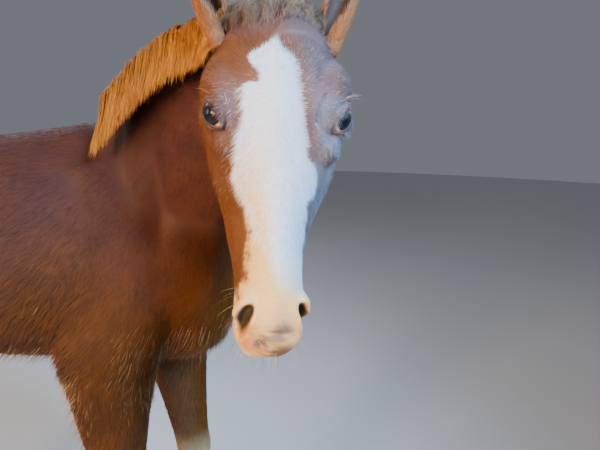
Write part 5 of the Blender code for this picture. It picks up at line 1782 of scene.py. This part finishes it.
def sizes():
    return bpy.context.scene.foal_sizes


def skin_object():
    return bpy.data.objects["skin"]


class FOAL_OT_skin(bpy.types.Operator):
    """The one skin over head, neck, trunk, tail and legs"""

    bl_idname = "foal.skin"
    bl_label = "Skin"

    def execute(self, context):
        made = make_skin(sizes())
        legs = [leg + part for leg in LEGS for part in ("_upper", "_lower")]
        dress(made, skin_material(), "body_coat", "torso", "neck", "head", "tail", *legs)
        return {"FINISHED"}


class FOAL_OT_eyes(bpy.types.Operator):
    """Eyeballs, the lids' edges, lashes and brow hairs"""

    bl_idname = "foal.eyes"
    bl_label = "Eyes"

    def execute(self, context):
        shades, draw = palette(), np.random.default_rng(51)
        wet = eye_material()
        for side in (-1, 1):
            dress(eyeball(side, shades), wet, "eye", "eye_" + SIDES[side])
            parts = together([lid_rim(side, shades), caruncle(side, shades)])
            rim = new_object("lid_rim_" + SIDES[side], *parts)
            dress(rim, shared_material("moist skin", 0.35, 0.45, 0.001, 0.2), "head_coat")
            spines, normal = lash_spines(side, draw)
            brows, brow_normal = brow_spines(skin_object(), side, draw)
            spines = np.concatenate([spines, brows])
            normals = np.vstack([np.tile(normal, (len(spines) - len(brows), 1)), brow_normal])
            widths = np.tile((0.00026, 0.00020), (len(spines), 1))
            colour = np.tile(shades["lid"], (len(spines), 1))
            colour[-len(brows):] = shades["whisker"] * 1.3
            name, spots = "lashes_" + SIDES[side], unwrap(spines[:, 0], "head")
            lashes = hair_object(name, spines, widths, normals, colour, spots, (1.0, 1.0))
            dress(lashes, long_hair_material(), "head_coat")
        return {"FINISHED"}


class FOAL_OT_ears(bpy.types.Operator):
    """Cupped ears with short hair outside and long hair inside"""

    bl_idname = "foal.ears"
    bl_label = "Ears"

    def execute(self, context):
        shades, draw = palette(), np.random.default_rng(52)
        for side in (-1, 1):
            shell = new_object("ear_shell_" + SIDES[side], *ear_shell(side, shades))
            dress(shell, skin_material(), "ear_coat", "ear_" + SIDES[side])
            for inside, name, tone, count, size in (
                (False, "ear_hair_", "ear_back", 3600, 0.00070),
                (True, "ear_fringe_", "ear_fringe", 1100, 0.00028),
            ):
                spines, normals = ear_hairs(side, draw, count, inside)
                normals = np.broadcast_to(normals, (count, 3))
                widths = size * draw.uniform(0.7, 1.2, (count, 1)) * np.array((1.0, 0.8))
                colour = shades[tone] * draw.uniform(0.75, 1.25, (count, 1))
                name, spots = name + SIDES[side], unwrap(spines[:, 0], "head")
                hair = hair_object(name, spines, widths, normals, colour, spots, (0.8, 1.0, 1.1))
                dress(hair, coat_material(), "ear_coat")
        return {"FINISHED"}


class FOAL_OT_hooves(bpy.types.Operator):
    """Four hooves with growth rings"""

    bl_idname = "foal.hooves"
    bl_label = "Hooves"

    def execute(self, context):
        shades, horn = palette(), horn_material()
        for name in LEGS:
            dress(new_object("horn_" + name, *hoof(name, shades)), horn, "hoof_horn", name + "_hoof")
        return {"FINISHED"}


def long_hair(name, spines, normals, tone, width, chart, slot, draw, gradient, clumps=1):
    """A piece of long hair, with each hair's thickness and tone varied, and each clump's tone."""
    count, stations = spines.shape[:2]
    taper = np.interp(np.linspace(0, 1, stations - 1), (0, 0.25, 0.7, 1.0), (0.7, 1.0, 0.9, 0.5))
    widths = width * draw.uniform(0.7, 1.35, (count, 1)) * taper
    shift = np.repeat(draw.normal(0, 0.20, (clumps, 1)), count // clumps, axis=0)
    colour = np.clip(tone * (draw.normal(1.0, 0.14, (count, 1)) + shift), 0.012, 0.95)
    spots = unwrap(spines[:, 0], chart)
    made = hair_object(name, spines, widths, normals, colour, spots, gradient, 0.6, 0.7)
    return dress(made, long_hair_material(), slot)


def locks(name, guides, normals, per, stations, spreads, waves, tone, width, chart, slot, draw, gradient):
    """A piece of long hair made of clumps: some hairs along each of its guides."""
    spines = strands(guides, per, stations, *spreads, draw, waves)
    normals = np.repeat(normals, per, axis=0)
    tone = tone(spines) if callable(tone) else tone
    long_hair(name, spines, normals, tone, width, chart, slot, draw, gradient, len(guides))


def coat_pieces():
    """Where each piece of short coat grows: name, which points, spacing, half width, unwrap, slot."""
    def head_side(side):
        def on_it(p):
            along, out, _ = head_places(p).T
            return (headness(p) > 0.5) * (out * side > 0) * (along < 0.372)
        return on_it

    def neck(side):
        return lambda p: (headness(p) <= 0.5) * neck_side(p, side) * (p[:, 0] > -0.02) * (p[:, 2] > 0.58)

    def trunk(side):
        return lambda p: (p[:, 1] * side > 0) * (p[:, 0] <= -0.02) * (p[:, 2] > 0.50)

    def legs(low, high):
        return lambda p: (p[:, 2] > 0.056) * (p[:, 0] > low) * (p[:, 0] <= high) * (
            p[:, 2] <= np.where(p[:, 0] > -0.02, 0.58, 0.50))

    face, near, far, leg = (getattr(sizes(), part + "_spacing") for part in ("face", "neck", "trunk", "leg"))
    return (
        ("coat_head_right", head_side(-1), face, 0.00046, "head", "head_coat"),
        ("coat_head_left", head_side(1), face, 0.00046, "head", "head_coat"),
        ("coat_neck_right", neck(-1), near, 0.00060, "trunk", "neck_coat"),
        ("coat_neck_left", neck(1), near * 1.35, 0.00085, "trunk", "neck_coat"),
        ("coat_trunk_right", trunk(-1), far, 0.00105, "trunk", "body_coat"),
        ("coat_trunk_left", trunk(1), far, 0.00105, "trunk", "body_coat"),
        ("coat_forelegs", legs(-0.4, 0.4), leg, 0.00085, "legs", "lower_leg_coat"),
        ("coat_hindlegs", legs(-1.0, -0.4), leg, 0.00085, "legs", "lower_leg_coat"),
    )


def neck_side(points, side):
    """Points on the right (-1) or left (1) of the neck's and breast's own middle plane."""
    middle = np.interp(points[:, 0], (0.0, 0.29), (0.0, -0.21)) * smooth(0.80, 0.95, points[:, 2])
    return (points[:, 1] - middle) * side > 0


class FOAL_OT_coat(bpy.types.Operator):
    """Short coat over the head, neck, trunk and legs"""

    bl_idname = "foal.coat"
    bl_label = "Short coat"

    def execute(self, context):
        shades, skin = palette(), skin_object()
        for seed, (name, wanted, gap, width, chart, slot) in enumerate(coat_pieces(), 61):
            made = tufts(name, skin, clear_of_features(wanted), gap, width, chart, seed, sizes(), shades)
            dress(made, coat_material(), slot)
        return {"FINISHED"}


def clear_of_features(wanted):
    """The same part of the skin, without the eyes' openings, the nostrils, the lips and the ears' feet."""
    def kept(points):
        share = wanted(points).astype(float)
        head = head_places(points)
        for side in (1, -1):
            apart, a, b, c = round_eye(points, side)
            near = np.linalg.norm(apart, axis=1) < 0.04
            share = share * ~((c > 0) & (rim_level(a, b) < 1.25) & near)
            place, long, across, out = nostril_frame(side)
            apart = points - place
            level = np.hypot((apart @ long) / NOSTRIL_SIZE[0], (apart @ across) / NOSTRIL_SIZE[1])
            share = share * ~((level < 1.35) & (np.abs(apart @ out) < 0.03))
        bare = headness(points) * smooth(0.340, 0.366, head[:, 0])
        return share * (1 - 0.75 * bare)
    return kept


class FOAL_OT_mane(bpy.types.Operator):
    """The flaxen mane, from the crest over to the right side"""

    bl_idname = "foal.mane"
    bl_label = "Mane"

    def execute(self, context):
        shades, draw = palette(), np.random.default_rng(71)
        guides, normals = mane_guides(230, skin_object(), draw)
        per = sizes().mane_strands // len(guides)
        # The mane's hairs: much darker at the root as painted shade, lighter toward the tips.
        locks(
            "mane", rounded(guides, 12), normals, per, 7, (0.0030, 0.0022), 0.0010,
            shades["mane"], 0.00046, "trunk", "neck_coat", draw, (0.30, 0.75, 1.10, 1.45),
        )
        return {"FINISHED"}


class FOAL_OT_forelock(bpy.types.Operator):
    """The fluffy forelock between the ears"""

    bl_idname = "foal.forelock"
    bl_label = "Forelock"

    def execute(self, context):
        shades, draw = palette(), np.random.default_rng(72)
        guides, normals = forelock_guides(260, skin_object(), draw)

        def tone(spines):
            aside = np.abs(head_places(spines[:, 0])[:, 1])
            return shades["forelock"] * (1 - 0.65 * smooth(0.028, 0.042, aside))[:, None]

        locks(
            "forelock", rounded(guides, 10), normals, 14, 5, (0.0034, 0.0036), 0.0004,
            tone, 0.00026, "head", "head_coat", draw, (0.45, 0.95, 1.30),
        )
        return {"FINISHED"}


class FOAL_OT_tail(bpy.types.Operator):
    """The wavy tail round its dock"""

    bl_idname = "foal.tail"
    bl_label = "Tail"

    def execute(self, context):
        shades, draw = palette(), np.random.default_rng(73)
        guides, normals = tail_guides(210, draw)
        per = sizes().tail_strands // len(guides)
        locks(
            "tail_hair", rounded(guides, 12), normals, per, 8, (0.0030, 0.0045), 0.0030,
            shades["tail"], 0.00075, "trunk", "tail_hair", draw, (0.60, 1.0, 1.25),
        )
        return {"FINISHED"}


class FOAL_OT_feathers(bpy.types.Operator):
    """The long hair behind each fetlock"""

    bl_idname = "foal.feathers"
    bl_label = "Feathers"

    def execute(self, context):
        shades, draw = palette(), np.random.default_rng(74)
        for name in LEGS:
            guides, normals = feather_guides(name, 75, draw)
            locks(
                "feather_" + name, rounded(guides, 10), normals, 12, 5, (0.0022, 0.0030), 0.0012,
                shades["white"] * 0.95, 0.00060, "legs", "lower_leg_coat", draw, (0.9, 1.0, 1.0),
            )
        return {"FINISHED"}


class FOAL_OT_whiskers(bpy.types.Operator):
    """Whiskers on the lips and chin, and the long white hairs along the blaze's edges"""

    bl_idname = "foal.whiskers"
    bl_label = "Whiskers"

    def execute(self, context):
        shades, draw = palette(), np.random.default_rng(75)
        spines, normals = whisker_spines(skin_object(), draw)
        end = ("head", "head_coat", draw)
        long_hair("whiskers", spines, normals, shades["whisker"], 0.00020, *end, (1.0, 1.0))
        for side in (-1, 1):
            spines, normals = fringe_spines(skin_object(), side, draw, 520)
            tone = shades["white"] * 0.8
            long_hair("blaze_fringe_" + SIDES[side], spines, normals, tone, 0.00016, *end, (0.95, 1.0, 1.0))
        return {"FINISHED"}


class FOAL_OT_underside(bpy.types.Operator):
    """Long pale hair under the breast and belly and behind the right elbow"""

    bl_idname = "foal.underside"
    bl_label = "Long hair underneath"

    def execute(self, context):
        shades, draw, skin = palette(), np.random.default_rng(76), skin_object()
        rows = (
            ("breast_hair", under_breast, (-0.45, 0.0, -0.9), 0.022, 0.046, 3600, 0.30, "neck_coat"),
            ("elbow_hair", behind_elbow, (-0.55, 0.0, -0.8), 0.018, 0.040, 1800, 0.60, "upper_leg_coat"),
            ("belly_hair", under_belly, (-0.6, 0.0, -0.75), 0.028, 0.054, 3600, 0.25, "body_coat"),
        )
        for name, wanted, way, short, long, count, pale, slot in rows:
            spines, normals = hanging_spines(skin, draw, wanted, way, short, long, count)
            share = (draw.uniform(0, 1, len(spines)) < pale) * draw.uniform(0.4, 1.0, len(spines))
            colour = mixed(np.broadcast_to(shades["amber"] * 1.2, (len(spines), 3)), shades["straw"], share)
            long_hair(name, spines, normals, colour, 0.00034, "trunk", slot, draw, (0.75, 0.95, 1.1))
        return {"FINISHED"}


class FOAL_OT_stage(bpy.types.Operator):
    """The pale floor, the soft lights, the sky and the camera"""

    bl_idname = "foal.stage"
    bl_label = "Stage"

    def execute(self, context):
        scene = context.scene
        turn = np.linspace(0, math.tau, 96, endpoint=False)
        rim = np.stack([np.cos(turn) * FLOOR_REACH, np.sin(turn) * FLOOR_REACH, 0 * turn], 1) - CENTRE
        points = np.vstack([rim, -CENTRE])
        index = np.arange(96)
        floor = new_object("floor", points, np.stack([np.full(96, 96), index, (index + 1) % 96], 1))
        floor.data.materials.append(floor_material())

        world = bpy.data.worlds.new("studio")
        scene.world = world
        world.use_nodes = True
        sky = world.node_tree.nodes["Background"]
        sky.inputs["Color"].default_value = SKY_COLOUR
        sky.inputs["Strength"].default_value = SKY_STRENGTH
        targets = {"body": Vector((0.0, 0.0, 0.7))}
        for part, along in (("head", 0.15), ("nose", 0.30)):
            targets[part] = Vector(in_head((along, 0.0, 0.0)) + CENTRE)
        for name, place, target, reach, spread, power, colour in LIGHTS:
            light = bpy.data.lights.new(name, "AREA")
            light.shape = "DISK"
            light.size = reach
            light.spread = math.radians(spread)
            light.energy = power
            light.color = colour
            lamp = bpy.data.objects.new(name, light)
            scene.collection.objects.link(lamp)
            lamp.location = place
            lamp.rotation_euler = (targets[target] - lamp.location).to_track_quat("-Z", "Y").to_euler()

        view = bpy.data.cameras.new("camera")
        view.lens = LENS
        view.sensor_width = 36.0
        camera = bpy.data.objects.new("camera", view)
        scene.collection.objects.link(camera)
        down = math.radians(CAMERA_DROP)
        ahead = Vector((0, math.cos(down), -math.sin(down)))
        camera.matrix_world = (
            Matrix.Translation(CAMERA_PLACE)
            @ ahead.to_track_quat("-Z", "Y").to_matrix().to_4x4()
            @ Matrix.Rotation(math.radians(CAMERA_ROLL), 4, "Z")
        )
        scene.camera = camera
        return {"FINISHED"}


OPERATORS = (
    FOAL_OT_skin, FOAL_OT_eyes, FOAL_OT_ears, FOAL_OT_hooves, FOAL_OT_coat, FOAL_OT_mane, FOAL_OT_forelock,
    FOAL_OT_tail, FOAL_OT_feathers, FOAL_OT_whiskers, FOAL_OT_underside, FOAL_OT_stage,
)


class FOAL_PT_panel(bpy.types.Panel):
    """The foal's pieces, sizes and colours"""

    bl_idname = "FOAL_PT_panel"
    bl_label = "Cob foal"
    bl_space_type = "VIEW_3D"
    bl_region_type = "UI"
    bl_category = "Foal"

    def draw(self, context):
        layout = self.layout
        for operator in OPERATORS:
            layout.operator(operator.bl_idname)
        for group in (context.scene.foal_sizes, context.scene.foal_colours):
            box = layout.box()
            for name in group.__annotations__:
                box.prop(group, name)


CLASSES = (FoalSizes, FoalColours, *OPERATORS, FOAL_PT_panel)


def register():
    for item in CLASSES:
        bpy.utils.register_class(item)
    bpy.types.Scene.foal_sizes = PointerProperty(type=FoalSizes)
    bpy.types.Scene.foal_colours = PointerProperty(type=FoalColours)


def unregister():
    del bpy.types.Scene.foal_colours
    del bpy.types.Scene.foal_sizes
    for item in reversed(CLASSES):
        bpy.utils.unregister_class(item)


def main():
    register()
    for operator in OPERATORS:
        group, name = operator.bl_idname.split(".")
        getattr(getattr(bpy.ops, group), name)()


if __name__ == "__main__":
    main()
